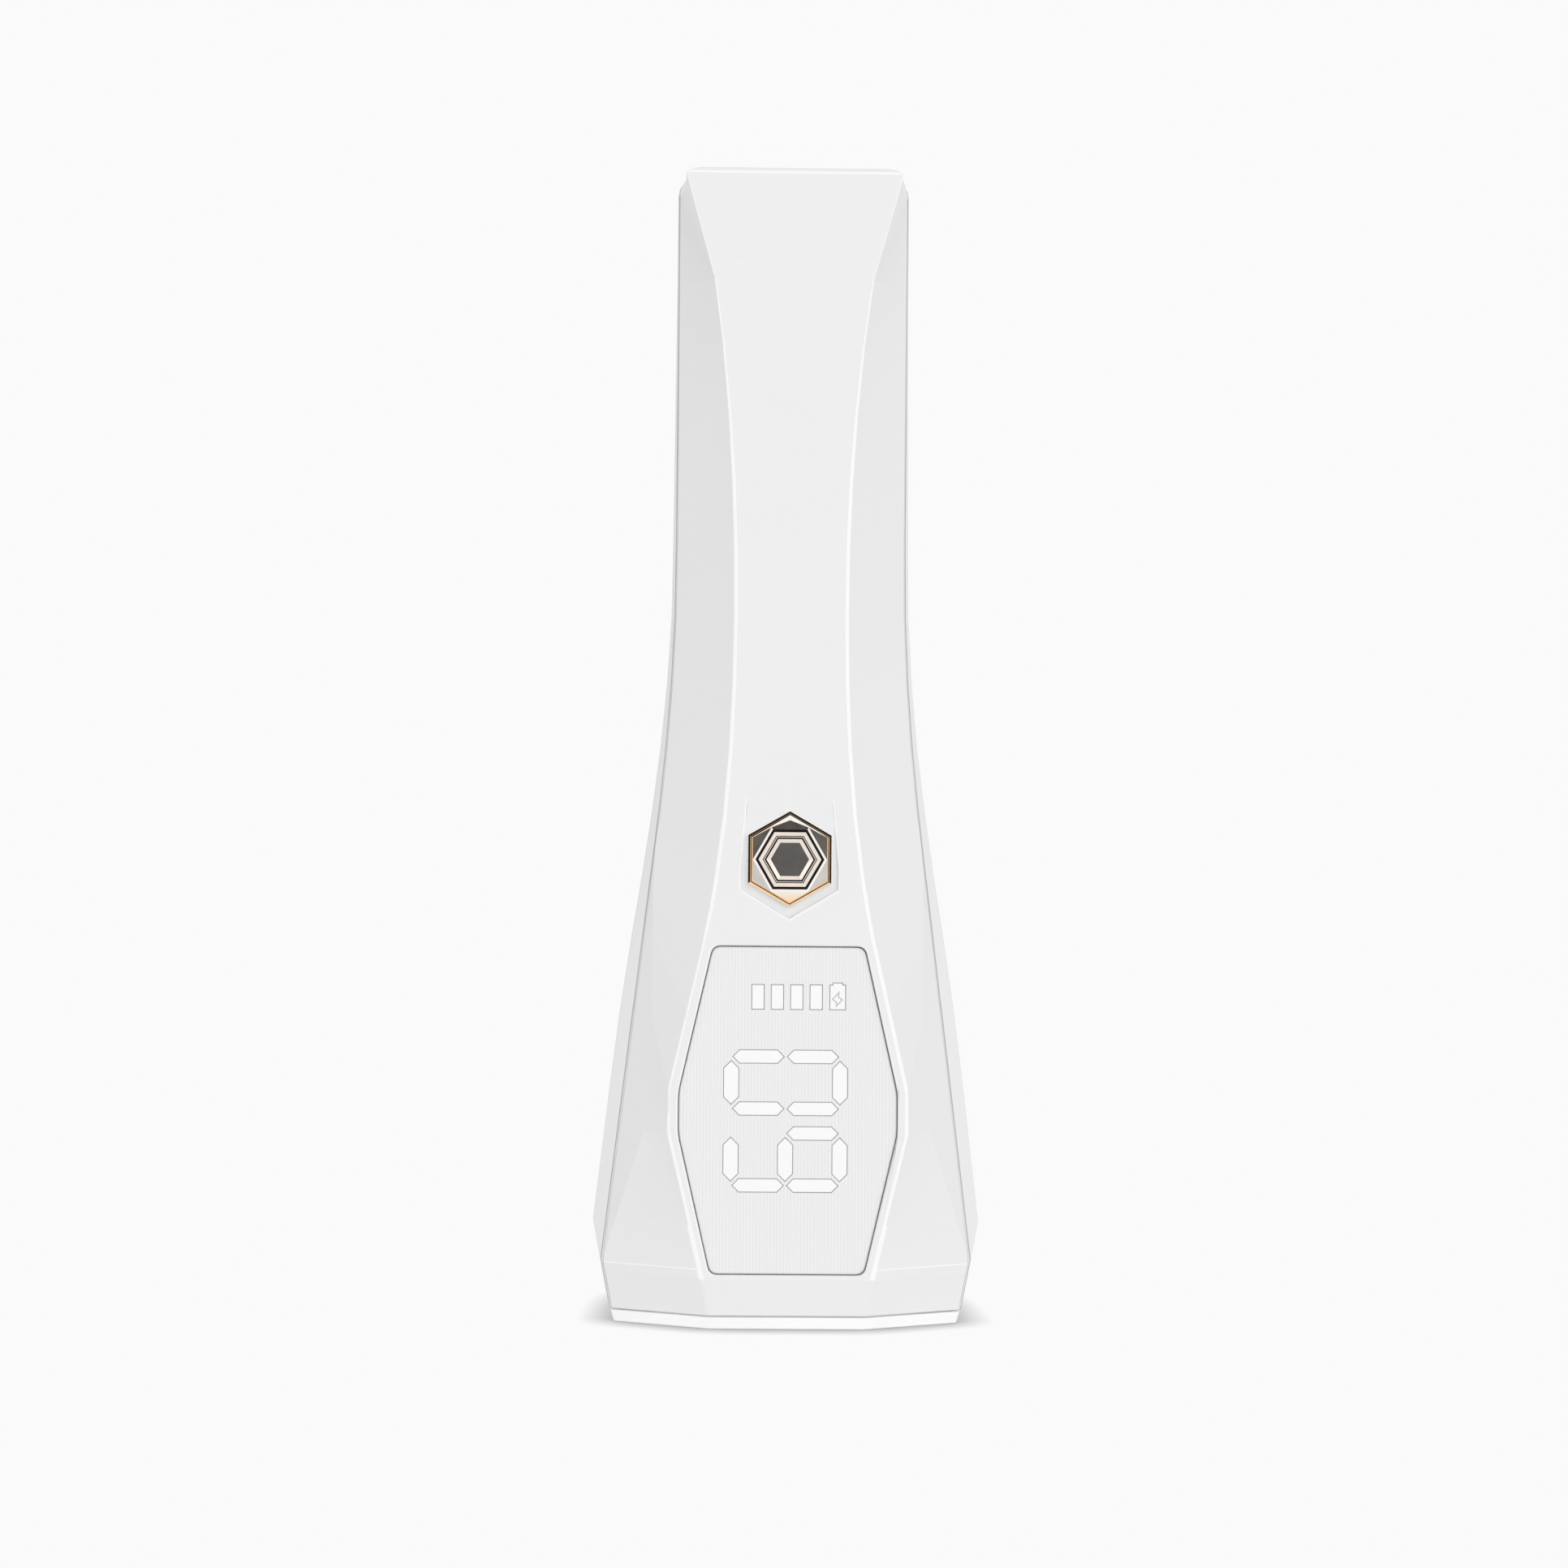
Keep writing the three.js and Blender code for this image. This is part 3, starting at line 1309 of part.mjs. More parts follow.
place('battery_cell', makeCell(), 'wrap');
place('battery_tab_plus', makeTab(cellTop, 1), 'steel');
place('battery_tab_minus', makeTab(cellFoot - tabThickness, -1), 'steel');
padPlaceShares.forEach((share, i) => place(`foam_pad_${i + 1}`, makePad(share), 'foam'));

place('usb_board', makeUsbBoard(), 'board');
place('usb_shell', makeUsbShell(), 'steel');
place('usb_tongue', makeUsbTongue(), 'darkPlastic');

place('lamp_cover', makeLampCover(), 'clear');
place('reflector_tray', makeTray(), 'mirror');
place('lamp_board', makeLampBoard(), 'whiteBoard');
ledPlaces().forEach((spot, i) => (
  place(`lamp_led_${String(i + 1).padStart(2, '0')}`, makeLed(spot), 'led')));
place('heat_spreader', makeSpreader(), 'aluminium');

caseScrewPlaces.forEach((spot, i) => (
  place(`case_screw_${i + 1}`, makeScrew(spot, caseSeat(spot[1]), caseScrewLength, -1), 'steel')));
boardScrewPlaces.forEach((spot, i) => (
  place(`board_screw_${i + 1}`, makeScrew(spot, controlBoardBack, boardScrewLength, -1), 'steel')));
lampScrewPlaces.forEach((spot, i) => (
  place(`lamp_screw_${i + 1}`, makeScrew(spot, spreaderBack, lampScrewLength, 1), 'steel')));

place('battery_lead_red', makeRedLead(), 'redWire');
place('battery_lead_black', makeBlackLead(), 'blackWire');
place('usb_lead', makeUsbLead(), 'blackWire');
place('lamp_lead', makeLampLead(), 'redWire');

export default lamp;
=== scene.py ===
# %% [markdown]
# # A cordless led nail lamp, dressed for the studio
# The lamp is a white hand-held wand that stands on the end of its head. Its construction comes
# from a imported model, which holds every shell, board, screw and lead at its real size. This
# lesson loads that model as a fixed frame and gives each piece its finished surface. Nothing in
# the frame is moved: a piece either keeps its shape and gets a better material, or is hidden and
# replaced by a finer mesh that sits in the same place.

# %% Load the frame
import math

import bmesh
import bpy
from mathutils import Matrix, Vector
from mathutils.bvhtree import BVHTree
from mathutils.geometry import intersect_point_line


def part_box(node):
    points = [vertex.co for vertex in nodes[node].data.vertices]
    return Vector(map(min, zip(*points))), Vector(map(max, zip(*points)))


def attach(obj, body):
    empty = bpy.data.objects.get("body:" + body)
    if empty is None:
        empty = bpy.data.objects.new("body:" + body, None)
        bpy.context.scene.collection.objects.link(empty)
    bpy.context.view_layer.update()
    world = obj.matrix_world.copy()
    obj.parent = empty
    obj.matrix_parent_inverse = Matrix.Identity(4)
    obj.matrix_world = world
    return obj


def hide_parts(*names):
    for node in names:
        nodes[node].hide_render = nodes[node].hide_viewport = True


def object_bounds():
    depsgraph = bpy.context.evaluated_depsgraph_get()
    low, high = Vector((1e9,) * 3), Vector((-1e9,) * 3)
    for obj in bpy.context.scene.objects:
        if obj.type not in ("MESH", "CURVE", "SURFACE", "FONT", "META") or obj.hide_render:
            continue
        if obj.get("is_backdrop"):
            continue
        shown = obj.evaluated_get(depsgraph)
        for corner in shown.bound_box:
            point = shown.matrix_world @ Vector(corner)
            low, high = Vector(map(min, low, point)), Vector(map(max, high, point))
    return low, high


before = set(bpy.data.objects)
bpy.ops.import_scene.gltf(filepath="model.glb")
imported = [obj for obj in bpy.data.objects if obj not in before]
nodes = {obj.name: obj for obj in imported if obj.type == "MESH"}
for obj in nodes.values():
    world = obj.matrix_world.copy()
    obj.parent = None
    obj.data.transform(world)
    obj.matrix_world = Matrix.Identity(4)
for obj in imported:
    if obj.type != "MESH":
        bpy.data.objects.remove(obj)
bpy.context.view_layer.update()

MM = 0.001
scene = bpy.context.scene
scene.view_settings.view_transform = "Standard"


def put(name, data):
    """A new object in the scene."""
    thing = bpy.data.objects.new(name, data)
    scene.collection.objects.link(thing)
    return thing


# %% [markdown]
# ## The camera
# The picture is taken from straight in front with a short tele lens, at about half the lamp's
# height. The lamp shows a little more of its left side, and leans by a fraction of a degree, so
# the camera stands slightly to the left and is turned about its own axis. A free-standing camera
# with plain angles is easier to read than one that tracks a target, so its angles are written out.

# %% Camera
CAMERA_DISTANCE = 590 * MM
CAMERA_HEIGHT = 88.6 * MM
CAMERA_LENS = 80.6
CAMERA_FILM = 36
CAMERA_SIDE = math.radians(-1.2)
CAMERA_AIM = math.radians(0.0715)
CAMERA_ROLL = math.radians(0.51)

camera_data = bpy.data.cameras.new("studio_camera")
camera_data.lens = CAMERA_LENS
camera_data.sensor_width = CAMERA_FILM
camera = put("studio_camera", camera_data)
camera.location = (
    CAMERA_DISTANCE * math.sin(CAMERA_SIDE),
    -CAMERA_DISTANCE * math.cos(CAMERA_SIDE),
    CAMERA_HEIGHT,
)
aim = Matrix.Rotation(CAMERA_SIDE + CAMERA_AIM, 4, "Z")
upright = Matrix.Rotation(math.radians(90), 4, "X")
roll = Matrix.Rotation(CAMERA_ROLL, 4, "Z")
camera.rotation_euler = (aim @ upright @ roll).to_euler()
scene.camera = camera
print("camera at", [round(x / MM, 1) for x in camera.location], "mm")

# %% [markdown]
# ## Tools for node trees
# The tent, the floor, every finish and the repeated pieces are trees of nodes. Two tools write
# such a tree: one adds a node, the other fills its inputs, each with a plain value or from the
# output of another node. A third mixes two colours. The last two let a surface light the lamp in
# one tone and show itself to the camera, to mirrors and through clear plastic in another.

# %% Tools for node trees
def fill(node, **inputs):
    """Fills inputs of a node with plain values or from the outputs of other nodes."""
    for label, value in inputs.items():
        socket = node.inputs[label.replace("_", " ")]
        for source in value if isinstance(value, list) else [value]:
            if isinstance(source, bpy.types.NodeSocket):
                node.id_data.links.new(source, socket)
            else:
                socket.default_value = (*source, 1) if socket.type == "RGBA" else source
    return node


def add(tree, kind, settings=None, **inputs):
    """Adds one node. Its full kind starts like the tree's own: ShaderNode or GeometryNode."""
    node = tree.nodes.new(tree.bl_idname.replace("Tree", kind))
    for key, value in (settings or {}).items():
        setattr(node, key, value)
    return fill(node, **inputs)


def mixed(tree, factor, first, second):
    """A colour that runs from the first to the second as the factor rises."""
    mix = add(tree, "Mix", {"data_type": "RGBA"}, Factor=factor, A=first, B=second)
    return mix.outputs["Result"]


def shown_ray(tree):
    """One where the camera, a mirror or clear plastic looks at the surface."""
    path = add(tree, "LightPath")
    shown = path.outputs["Is Camera Ray"]
    for ray in ("Is Glossy Ray", "Is Transmission Ray"):
        larger = add(tree, "Math", {"operation": "MAXIMUM"})
        tree.links.new(shown, larger.inputs[0])
        tree.links.new(path.outputs[ray], larger.inputs[1])
        shown = larger.outputs[0]
    return shown


def light_and_show(tree, lit, seen, output):
    """The tree ends in one shader that lights the lamp and another one that is seen."""
    mix = add(tree, "MixShader", Fac=shown_ray(tree))
    tree.links.new(lit.outputs[0], mix.inputs[1])
    tree.links.new(seen.outputs[0], mix.inputs[2])
    add(tree, output, Surface=mix.outputs[0])


print("node tools ready")

# %% [markdown]
# ## Light, floor and backdrop
# The lamp stands in a white tent, which lights it evenly from all round.
# The floor and the backdrop show the camera one pale tone, and metal and clear plastic see that
# same tone, while the object is lit by the plain level of the tent. The floor darkens close to
# the foot, where no light reaches under its edge. Painting that dark rim by the nearness of
# other surfaces keeps the floor white everywhere else, as it is in a product picture.

# %% Tent and floor
TENT_LEVEL = 0.64
BACKDROP_TONE = (0.957, 0.957, 0.957)
FLOOR_TONE = (0.9, 0.9, 0.9)
FLOOR_HALF = 6.0
SHADOW_REACH = 6 * MM
SHADOW_TONE = (0.2, 0.2, 0.2)
SHADOW_SAMPLES = 16

world = bpy.data.worlds.new("studio_tent")
scene.world = world
world.use_nodes = True
tent = world.node_tree
tent.nodes.clear()
light_and_show(
    tent, add(tent, "Background", Color=(1, 1, 1), Strength=TENT_LEVEL),
    add(tent, "Background", Color=BACKDROP_TONE, Strength=1), "OutputWorld")

floor_material = bpy.data.materials.new("studio_floor")
floor_material.use_nodes = True
ground = floor_material.node_tree
ground.nodes.clear()
near = add(ground, "AmbientOcclusion", {"samples": SHADOW_SAMPLES}, Distance=SHADOW_REACH)
shown_tone = mixed(ground, near.outputs["AO"], SHADOW_TONE, BACKDROP_TONE)
light_and_show(
    ground, add(ground, "BsdfDiffuse", Color=FLOOR_TONE),
    add(ground, "Emission", Color=shown_tone), "OutputMaterial")

floor_mesh = bpy.data.meshes.new("studio_floor")
floor_mesh.from_pydata(
    [(x * FLOOR_HALF, y * FLOOR_HALF, 0) for x, y in ((-1, -1), (1, -1), (1, 1), (-1, 1))],
    [], [(0, 1, 2, 3)])
floor_mesh.materials.append(floor_material)
floor = put("studio_floor", floor_mesh)
floor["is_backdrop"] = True
print("floor", 2 * FLOOR_HALF, "m wide, tone", BACKDROP_TONE[0])

# %% [markdown]
# ## The lamps of the studio
# A far soft key light stands for the big diffuser in front. Its light is even over the whole
# object, so one number sets the tone of each of its sides. The key light is left out of mirror
# reflections, because metal should show the even tent and no hot spot. The two softboxes are
# narrow and near: they hardly change the flat sides, and show as thin bright lines where a crease
# is rounded. The level of the key light is the tone that it gives to white paper held square
# to it, and the level of a softbox is the tone of its own face.

# %% Studio lamps
KEY_LEVEL = 0.305
KEY_SPREAD = math.radians(40)
SOFTBOX_WIDTH = 120 * MM
SOFTBOX_TALL = 600 * MM
SOFTBOX_DISTANCE = 800 * MM
SOFTBOX_HEIGHT = 100 * MM


def towards(azimuth, elevation=0):
    """The way to a light. Azimuth 0 is in front of the lamp, and the right side is positive."""
    turn, lift = math.radians(azimuth), math.radians(elevation)
    return Vector((
        math.sin(turn) * math.cos(lift), -math.cos(turn) * math.cos(lift), math.sin(lift)))


def studio_lamp(name, kind, way, energy):
    """A light that shines from the given way on the lamp."""
    lamp = put(name, bpy.data.lights.new(name, kind))
    lamp.data.energy = energy
    lamp.rotation_euler = way.to_track_quat("Z", "Y").to_euler()
    return lamp


key = studio_lamp("key_light", "SUN", towards(13, 8), KEY_LEVEL * math.pi)
key.data.angle = KEY_SPREAD
key.visible_glossy = False
for name, azimuth, level in (("right_softbox", 52, 1.2), ("left_softbox", -52, 1.4)):
    way = towards(azimuth)
    box = studio_lamp(name, "AREA", way, level * math.pi * SOFTBOX_WIDTH * SOFTBOX_TALL)
    box.data.shape = "RECTANGLE"
    box.data.size, box.data.size_y = SOFTBOX_WIDTH, SOFTBOX_TALL
    box.location = way * SOFTBOX_DISTANCE + Vector((0, 0, SOFTBOX_HEIGHT))

# %% [markdown]
# ## How a finish is made
# Every finish starts from one shader that holds its plain values: colour, roughness and metal.
# What a real surface adds to that is small: a moulded grain, a cloudy change in gloss, a slight
# change in colour. Each of these reads a noise that lives in the piece's own space, so it stays on
# the piece when the piece moves. Small helpers keep every finish to a few readable lines.

# %% Tools for finishes
def new_finish(name, color, roughness, metal=0.0, **values):
    """A material with one shader. Returns the material, its tree and the shader."""
    material = bpy.data.materials.new(name)
    material.use_nodes = True
    tree = material.node_tree
    shader = fill(
        tree.nodes["Principled BSDF"], Base_Color=color, Roughness=roughness, Metallic=metal,
        **values)
    return material, tree, shader


def own_place(tree):
    """The place of a point in the piece's own space."""
    return add(tree, "TexCoord").outputs["Object"]


def noise(tree, size, detail=2.0, stretch=(1, 1, 1)):
    """A cloudy pattern whose clouds are about as large as size, stretched along an axis."""
    turned = add(tree, "Mapping", Vector=own_place(tree), Scale=stretch).outputs["Vector"]
    return add(tree, "TexNoise", Vector=turned, Scale=1 / size, Detail=detail).outputs["Fac"]


def stripes(tree, pitch, direction="X"):
    """Even ribs across one axis of the piece."""
    wave = add(tree, "TexWave", {"wave_type": "BANDS", "bands_direction": direction},
               Vector=own_place(tree), Scale=math.pi / 10 / pitch)
    return wave.outputs["Fac"]


def between(tree, pattern, low, high):
    """The pattern's values laid between two limits."""
    spread = add(tree, "MapRange", Value=pattern, From_Min=0.25, From_Max=0.75,
                 To_Min=low, To_Max=high)
    return spread.outputs["Result"]


def raise_relief(tree, shader, pattern, depth):
    """The pattern as a shallow relief, added to any relief that is already there."""
    bump = add(tree, "Bump", Distance=depth, Height=pattern)
    for link in shader.inputs["Normal"].links:
        fill(bump, Normal=link.from_socket)
    fill(shader, Normal=bump.outputs["Normal"])


def vary_gloss(tree, shader, pattern, low, high):
    fill(shader, Roughness=between(tree, pattern, low, high))


def blend_colours(tree, shader, pattern, first, second):
    """The colour runs from the first to the second where the pattern rises."""
    fill(shader, Base_Color=mixed(tree, between(tree, pattern, 0, 1), first, second))


def clouded(name, tones, cloud, gloss, haze, detail=3.0, metal=0.0, reliefs=(), **values):
    """A finish whose colour drifts between two tones in clouds, and whose roughness drifts between
    two limits in a haze of some detail. Each relief has a size, a detail and a depth. Lengths
    are in millimetres. Further values go to the shader."""
    material, tree, shader = new_finish(name, tones[0], gloss[0], metal, **values)
    blend_colours(tree, shader, noise(tree, cloud * MM), *tones)
    vary_gloss(tree, shader, noise(tree, haze * MM, detail), *gloss)
    for size, fineness, depth in reliefs:
        raise_relief(tree, shader, noise(tree, size * MM, fineness), depth * MM)
    return material


def plated(name, tones, cloud, gloss, haze=0.3, **values):
    """A metal finish with a fine haze."""
    return clouded(name, tones, cloud, gloss, haze, 4, 1.0, **values)


def shades(color, low, high):
    """Two tones of one colour, each a share of it."""
    return [tuple(min(1, c * share) for c in color) for share in (low, high)]


print("finish tools ready")

# %% [markdown]
# ## White moulded plastic
# The housing is glossy white plastic from a polished mould. Close to, such a skin has a very fine
# orange-peel grain, its gloss changes softly over a few centimetres, and its white is not quite
# even. Three noises give these at their own sizes. A single flat white would look like paper.
# The rounded creases in front are painted lighter with a faint glow, a painted highlight, and the
# foot plate is painted lighter with a faint glow too, painted light against the floor's shade.
# True scattering inside such a large body is not rendered, as it costs a path tracer a lot. The
# edges along the parting line are painted darker and duller, as painted shade for the gap between
# them.

# %% White plastic for the shells and the foot
WHITE = (0.945, 0.945, 0.948)
CREASE_PAINTED_GLOW = 0.07
FOOT_PAINTED_GLOW = 0.1

shell_plastic = clouded(
    "shell_plastic", shades(WHITE, 0.996, 1.003), cloud=18, gloss=(0.27, 0.34), haze=14,
    reliefs=[(0.35, 2, 0.004), (6, 1, 0.012)])
# The front creases: a painted highlight, a lighter white with a faint glow
crease_painted_highlight = clouded(
    "crease_painted_highlight", shades(WHITE, 1.035, 1.05), cloud=9, gloss=(0.18, 0.26), haze=6,
    Emission_Strength=CREASE_PAINTED_GLOW)
# The seam roundings are painted dark grey, as painted shade for the gap between the shells
seam_painted_shade = clouded(
    "seam_painted_shade", shades(WHITE, 0.52, 0.58), cloud=9, gloss=(0.44, 0.56), haze=6)
# The foot: painted lighter and with a painted glow, where the floor shades it
foot_plastic_painted_glow = clouded(
    "foot_plastic_painted_glow", shades(WHITE, 1.02, 1.05), cloud=9, gloss=(0.38, 0.5), haze=5,
    reliefs=[(0.25, 2, 0.008)], Emission_Strength=FOOT_PAINTED_GLOW)
print("plastics for shells, creases, parting line and foot")

# %% [markdown]
# ## Copies with rounded edges
# A mould can't make a knife edge: every crease of the housing is rounded by about half a
# millimetre, and the rims of its openings by less. The CAD solid has sharp edges, so the copy is
# welded, its flat areas are made single faces, and a bevel rounds each edge by its own share of
# one width. The share is written on the edge itself, so that creases, rims and seams are rounded
# in one pass and meet cleanly. Weighted normals keep the flat facets flat up to the rounding.

# %% Tools for rounded copies
WELD = 1e-6
FLAT_ANGLE = math.radians(0.35)
KEEN_ANGLE = math.radians(35)
LOOK_START = 0.02 * MM
LOOK_LENGTH = 0.3
SEGMENTS = 3
WEIGHT = "bevel_weight_edge"


def welded(name):
    """A CAD node's loose triangles as one welded surface with whole flat faces."""
    form = bmesh.new()
    form.from_mesh(nodes[name].data)
    bmesh.ops.remove_doubles(form, verts=form.verts, dist=WELD)
    bmesh.ops.dissolve_limit(
        form, angle_limit=FLAT_ANGLE, verts=form.verts, edges=form.edges)
    form.normal_update()
    return form


def shown_faces(form):
    """The faces that look out into the open, and not across a gap or into a hole."""
    tree = BVHTree.FromBMesh(form)
    return {
        face for face in form.faces
        if tree.ray_cast(face.calc_center_median() + face.normal * LOOK_START, face.normal,
                         LOOK_LENGTH)[0] is None}


def dress(name, mesh, materials=(), body="housing"):
    """A finished mesh as a piece of the lamp, riding on a body."""
    for material in materials:
        mesh.materials.append(material)
    piece = put(name, mesh)
    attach(piece, body)
    return piece


def flatten_faces(piece):
    """Weighted normals: large faces stay flat, and only the rounding between them bends."""
    weighted = piece.modifiers.new("weighted_normals", "WEIGHTED_NORMAL")
    weighted.keep_sharp = True


def applied(holder):
    """The mesh of a helper object with its modifier run. The object and its own mesh go."""
    graph = bpy.context.evaluated_depsgraph_get()
    mesh = bpy.data.meshes.new_from_object(holder.evaluated_get(graph))
    base = holder.data
    bpy.data.objects.remove(holder)
    bpy.data.meshes.remove(base)
    return mesh


def bevelled(form, width, materials):
    """The form as a mesh with its marked edges rounded. The roundings get the second material."""
    base = bpy.data.meshes.new("rounding_base")
    form.to_mesh(base)
    for material in materials:
        base.materials.append(material)
    holder = put("rounding_base", base)
    bevel = holder.modifiers.new("rounding", "BEVEL")
    bevel.limit_method = "WEIGHT"
    bevel.width = width
    bevel.segments = SEGMENTS
    bevel.use_clamp_overlap = False
    bevel.material = 1
    return applied(holder)


def ends(edge):
    return edge.verts[0].co.copy(), edge.verts[1].co.copy()


def middle(edge):
    return (edge.verts[0].co + edge.verts[1].co) / 2


def near_line(point, lines, reach):
    """Whether a point lies within reach of any of the lines, each given by its two ends."""
    for start, end in lines:
        along = intersect_point_line(point, start, end)[1]
        if (start.lerp(end, max(0, min(1, along))) - point).length < reach:
            return True
    return False


print("rounding tools ready")

# %% [markdown]
# ## Roundings that don't fold
# A bevel that is wider than the faces beside it folds over itself. Three rules prevent that. No
# edge takes more than a share of the room beside it. Along one crease the width changes only
# step by step. And after the bevel its result is searched for folds, the edges near a fold are
# eased, and the bevel is run again.

# %% Tools against folds
STRAIGHT_ON = math.radians(150)
NARROW = math.radians(25)
NARROW_ROOM = 0.2 * MM
ROOM_SHARE = 0.4
FOLD = math.radians(100)
FOLD_REACH = 0.3 * MM
SHARP_REACH = 0.15 * MM
FOLD_AREA = 0.003 * MM * MM
EASE = 0.6
TRIES = 5
PASSES = 3
STEP_UP = 1.4


def room(edge, share):
    """How far the faces beside an edge reach from it, so that no rounding overruns them. Two
    rounded edges that meet at a narrow angle get little room."""
    least = math.inf
    for loop in edge.link_loops:
        ahead = loop.link_loop_next
        for corner, side in ((loop.vert, loop.link_loop_prev.edge), (ahead.vert, ahead.edge)):
            line = edge.other_vert(corner).co - corner.co
            along = side.other_vert(corner).co - corner.co
            angle = line.angle(along)
            if angle < STRAIGHT_ON:
                least = min(least, along.length * math.sin(angle))
            if angle < NARROW and side[share]:
                least = min(least, NARROW_ROOM)
    return least


def even_out(form, share):
    """Lets the width of a rounding change only step by step along a crease."""
    for _ in range(PASSES):
        for vert in form.verts:
            for edge in vert.link_edges:
                for other in vert.link_edges:
                    line = edge.other_vert(vert).co - vert.co
                    onward = other.other_vert(vert).co - vert.co
                    if edge[share] and other[share] and line.angle(onward) > STRAIGHT_ON:
                        edge[share] = min(edge[share], STEP_UP * other[share])


def folds(mesh, sharp):
    """The places where a rounding has folded over itself. Edges that are sharp in the form
    itself are no folds."""
    look = bmesh.new()
    look.from_mesh(mesh)
    look.normal_update()
    places = []
    for edge in look.edges:
        if edge.calc_face_angle(0) < FOLD or not any(f.material_index for f in edge.link_faces):
            continue
        if min(face.calc_area() for face in edge.link_faces) < FOLD_AREA:
            continue
        if not near_line(middle(edge), sharp, SHARP_REACH):
            places.append(middle(edge))
    look.free()
    return places


def rounded(form, shares, width, plastic, crease=None):
    """The form as a mesh, each edge rounded by its share of the width. Edges beside a fold are
    eased, and the rounding is done again."""
    share = form.edges.layers.float.new(WEIGHT)
    for edge in form.edges:
        edge[share] = shares(edge)
    limits = [ROOM_SHARE * room(edge, share) / width for edge in form.edges]
    for edge, limit in zip(form.edges, limits):
        edge[share] = min(edge[share], limit)
    even_out(form, share)
    sharp = [ends(edge) for edge in form.edges if edge.calc_face_angle(0) > FOLD]
    for _ in range(TRIES):
        mesh = bevelled(form, width, [plastic, crease or plastic])
        places = folds(mesh, sharp)
        if not places:
            break
        for edge in form.edges:
            if edge[share] and any(near_line(p, [ends(edge)], FOLD_REACH) for p in places):
                edge[share] *= EASE
        even_out(form, share)
    form.free()
    if WEIGHT in mesh.attributes:
        mesh.attributes.remove(mesh.attributes[WEIGHT])
    for polygon in mesh.polygons:
        polygon.use_smooth = True
        if crease is None:
            polygon.material_index = 0
    if crease is None:
        mesh.materials.pop(index=1)
    mesh.set_sharp_from_angle(angle=KEEN_ANGLE)
    print("rounded", len(mesh.polygons), "faces,", len(places), "folds left")
    return mesh


print("fold tools ready")

# %% [markdown]
# ## The two shells
# The housing is a front and a back shell that meet in a fine parting line. Facets run the whole
# length, and some creases fade as the facets turn into each other. An edge counts as a crease
# when both of its faces are on the outside and turn by more than a few degrees. It counts as a
# rim when an outer face meets the wall of an opening, and as a seam when it meets the parting
# face. The recess for the button is rounded a little less than the creases. Reading all that
# from the mesh means that no edge has to be picked by hand. Each rounding then gets its plastic:
# the front creases, the recess rims and the tail's edge get a painted highlight, the seam gets
# painted shade as a fine grey line, and the others stay as the shell.

# %% Shells
CREASE_WIDTH = 0.45 * MM
RIM_SHARE = 0.6
RECESS_SHARE = 0.8
SEAM_SHARE = 0.28
LEAST_TURN = 4
SEAM_TURN = 15
RIM_TURN = 50
STEEP_TURN = 80
SHORT_EDGE = 0.6 * MM
SEAM_FACING = 0.93
SEAM_REACH = 0.12 * MM
FRONT_CREASE = -0.87
UPRIGHT_CREASE = 0.04
CHIN_TOP = 9 * MM
TAIL_EDGE = 188.9 * MM
RECESS_HALF = 9.5 * MM
RECESS_REACH = 10.2 * MM
RECESS_FACING = -0.2
RING_PROUD = 1.7 * MM
SEAM_SHADE_SLOT = 2

ring_low, ring_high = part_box("button_bezel")
button_height = (ring_low.z + ring_high.z) / 2
recess_floor = ring_low.y + RING_PROUD


def by_button(point):
    """Whether a point of the front lies at the recess for the button."""
    x, y, z = point
    return abs(x) < RECESS_HALF and abs(z - button_height) < RECESS_REACH and y < recess_floor


def shell_shares(form, seam_side, seams):
    """How much each edge of a shell is rounded. seam_side is the way its parting face looks, and
    seams gathers the edges along the parting line."""
    open_faces = shown_faces(form)
    skin = {f for f in open_faces if f.normal.y * seam_side < SEAM_FACING}

    def share(edge):
        turn = math.degrees(edge.calc_face_angle_signed(0))
        outside = sum(face in skin for face in edge.link_faces)
        if outside == 2 and turn > LEAST_TURN:
            if edge.calc_length() > SHORT_EDGE and turn < STEEP_TURN:
                return 1
            return RECESS_SHARE if by_button(edge.verts[0].co) else SEAM_SHARE
        if outside == 1 and turn > SEAM_TURN:
            partner = [face for face in edge.link_faces if face not in skin][0]
            if partner in open_faces:
                seams.append(ends(edge))
                return SEAM_SHARE
            return RIM_SHARE if turn > RIM_TURN else 0
        return 0

    return share


def gets_painted_highlight(polygon):
    """Whether a rounding gets the painted highlight: a crease or tail edge in front, or a recess
    rim.
    """
    z = polygon.center.z
    limit = FRONT_CREASE if z > CHIN_TOP else -1
    if by_button(polygon.center):
        limit = RECESS_FACING
    shown = abs(polygon.normal.x) > UPRIGHT_CREASE or z > TAIL_EDGE
    return polygon.material_index and shown and polygon.normal.y < limit


for name, seam_side in (("front_shell", 1), ("back_shell", -1)):
    form = welded(name)
    seams = []
    mesh = rounded(
        form, shell_shares(form, seam_side, seams), CREASE_WIDTH, shell_plastic, crease_painted_highlight)
    mesh.materials.append(seam_painted_shade)
    for polygon in mesh.polygons:
        # Roundings get the painted highlight, or the painted shade along the seam
        bright = gets_painted_highlight(polygon)
        parting = polygon.material_index and near_line(polygon.center, seams, SEAM_REACH)
        polygon.material_index = SEAM_SHADE_SLOT if parting else int(bright)
    shell = dress(name + "_moulded", mesh)
    flatten_faces(shell)
    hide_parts(name)

# %% [markdown]
# ## The foot plate
# The lamp stands on a white strip that closes the end of its head. It is a moulding of its own,
# a little less glossy than the shells, painted lighter and with a faint painted glow, and its rims
# are rounded too, so that it shows as a thin light band between the body and the shadow on the
# floor.

# %% Foot plate
FOOT_ROUNDING = 0.3 * MM


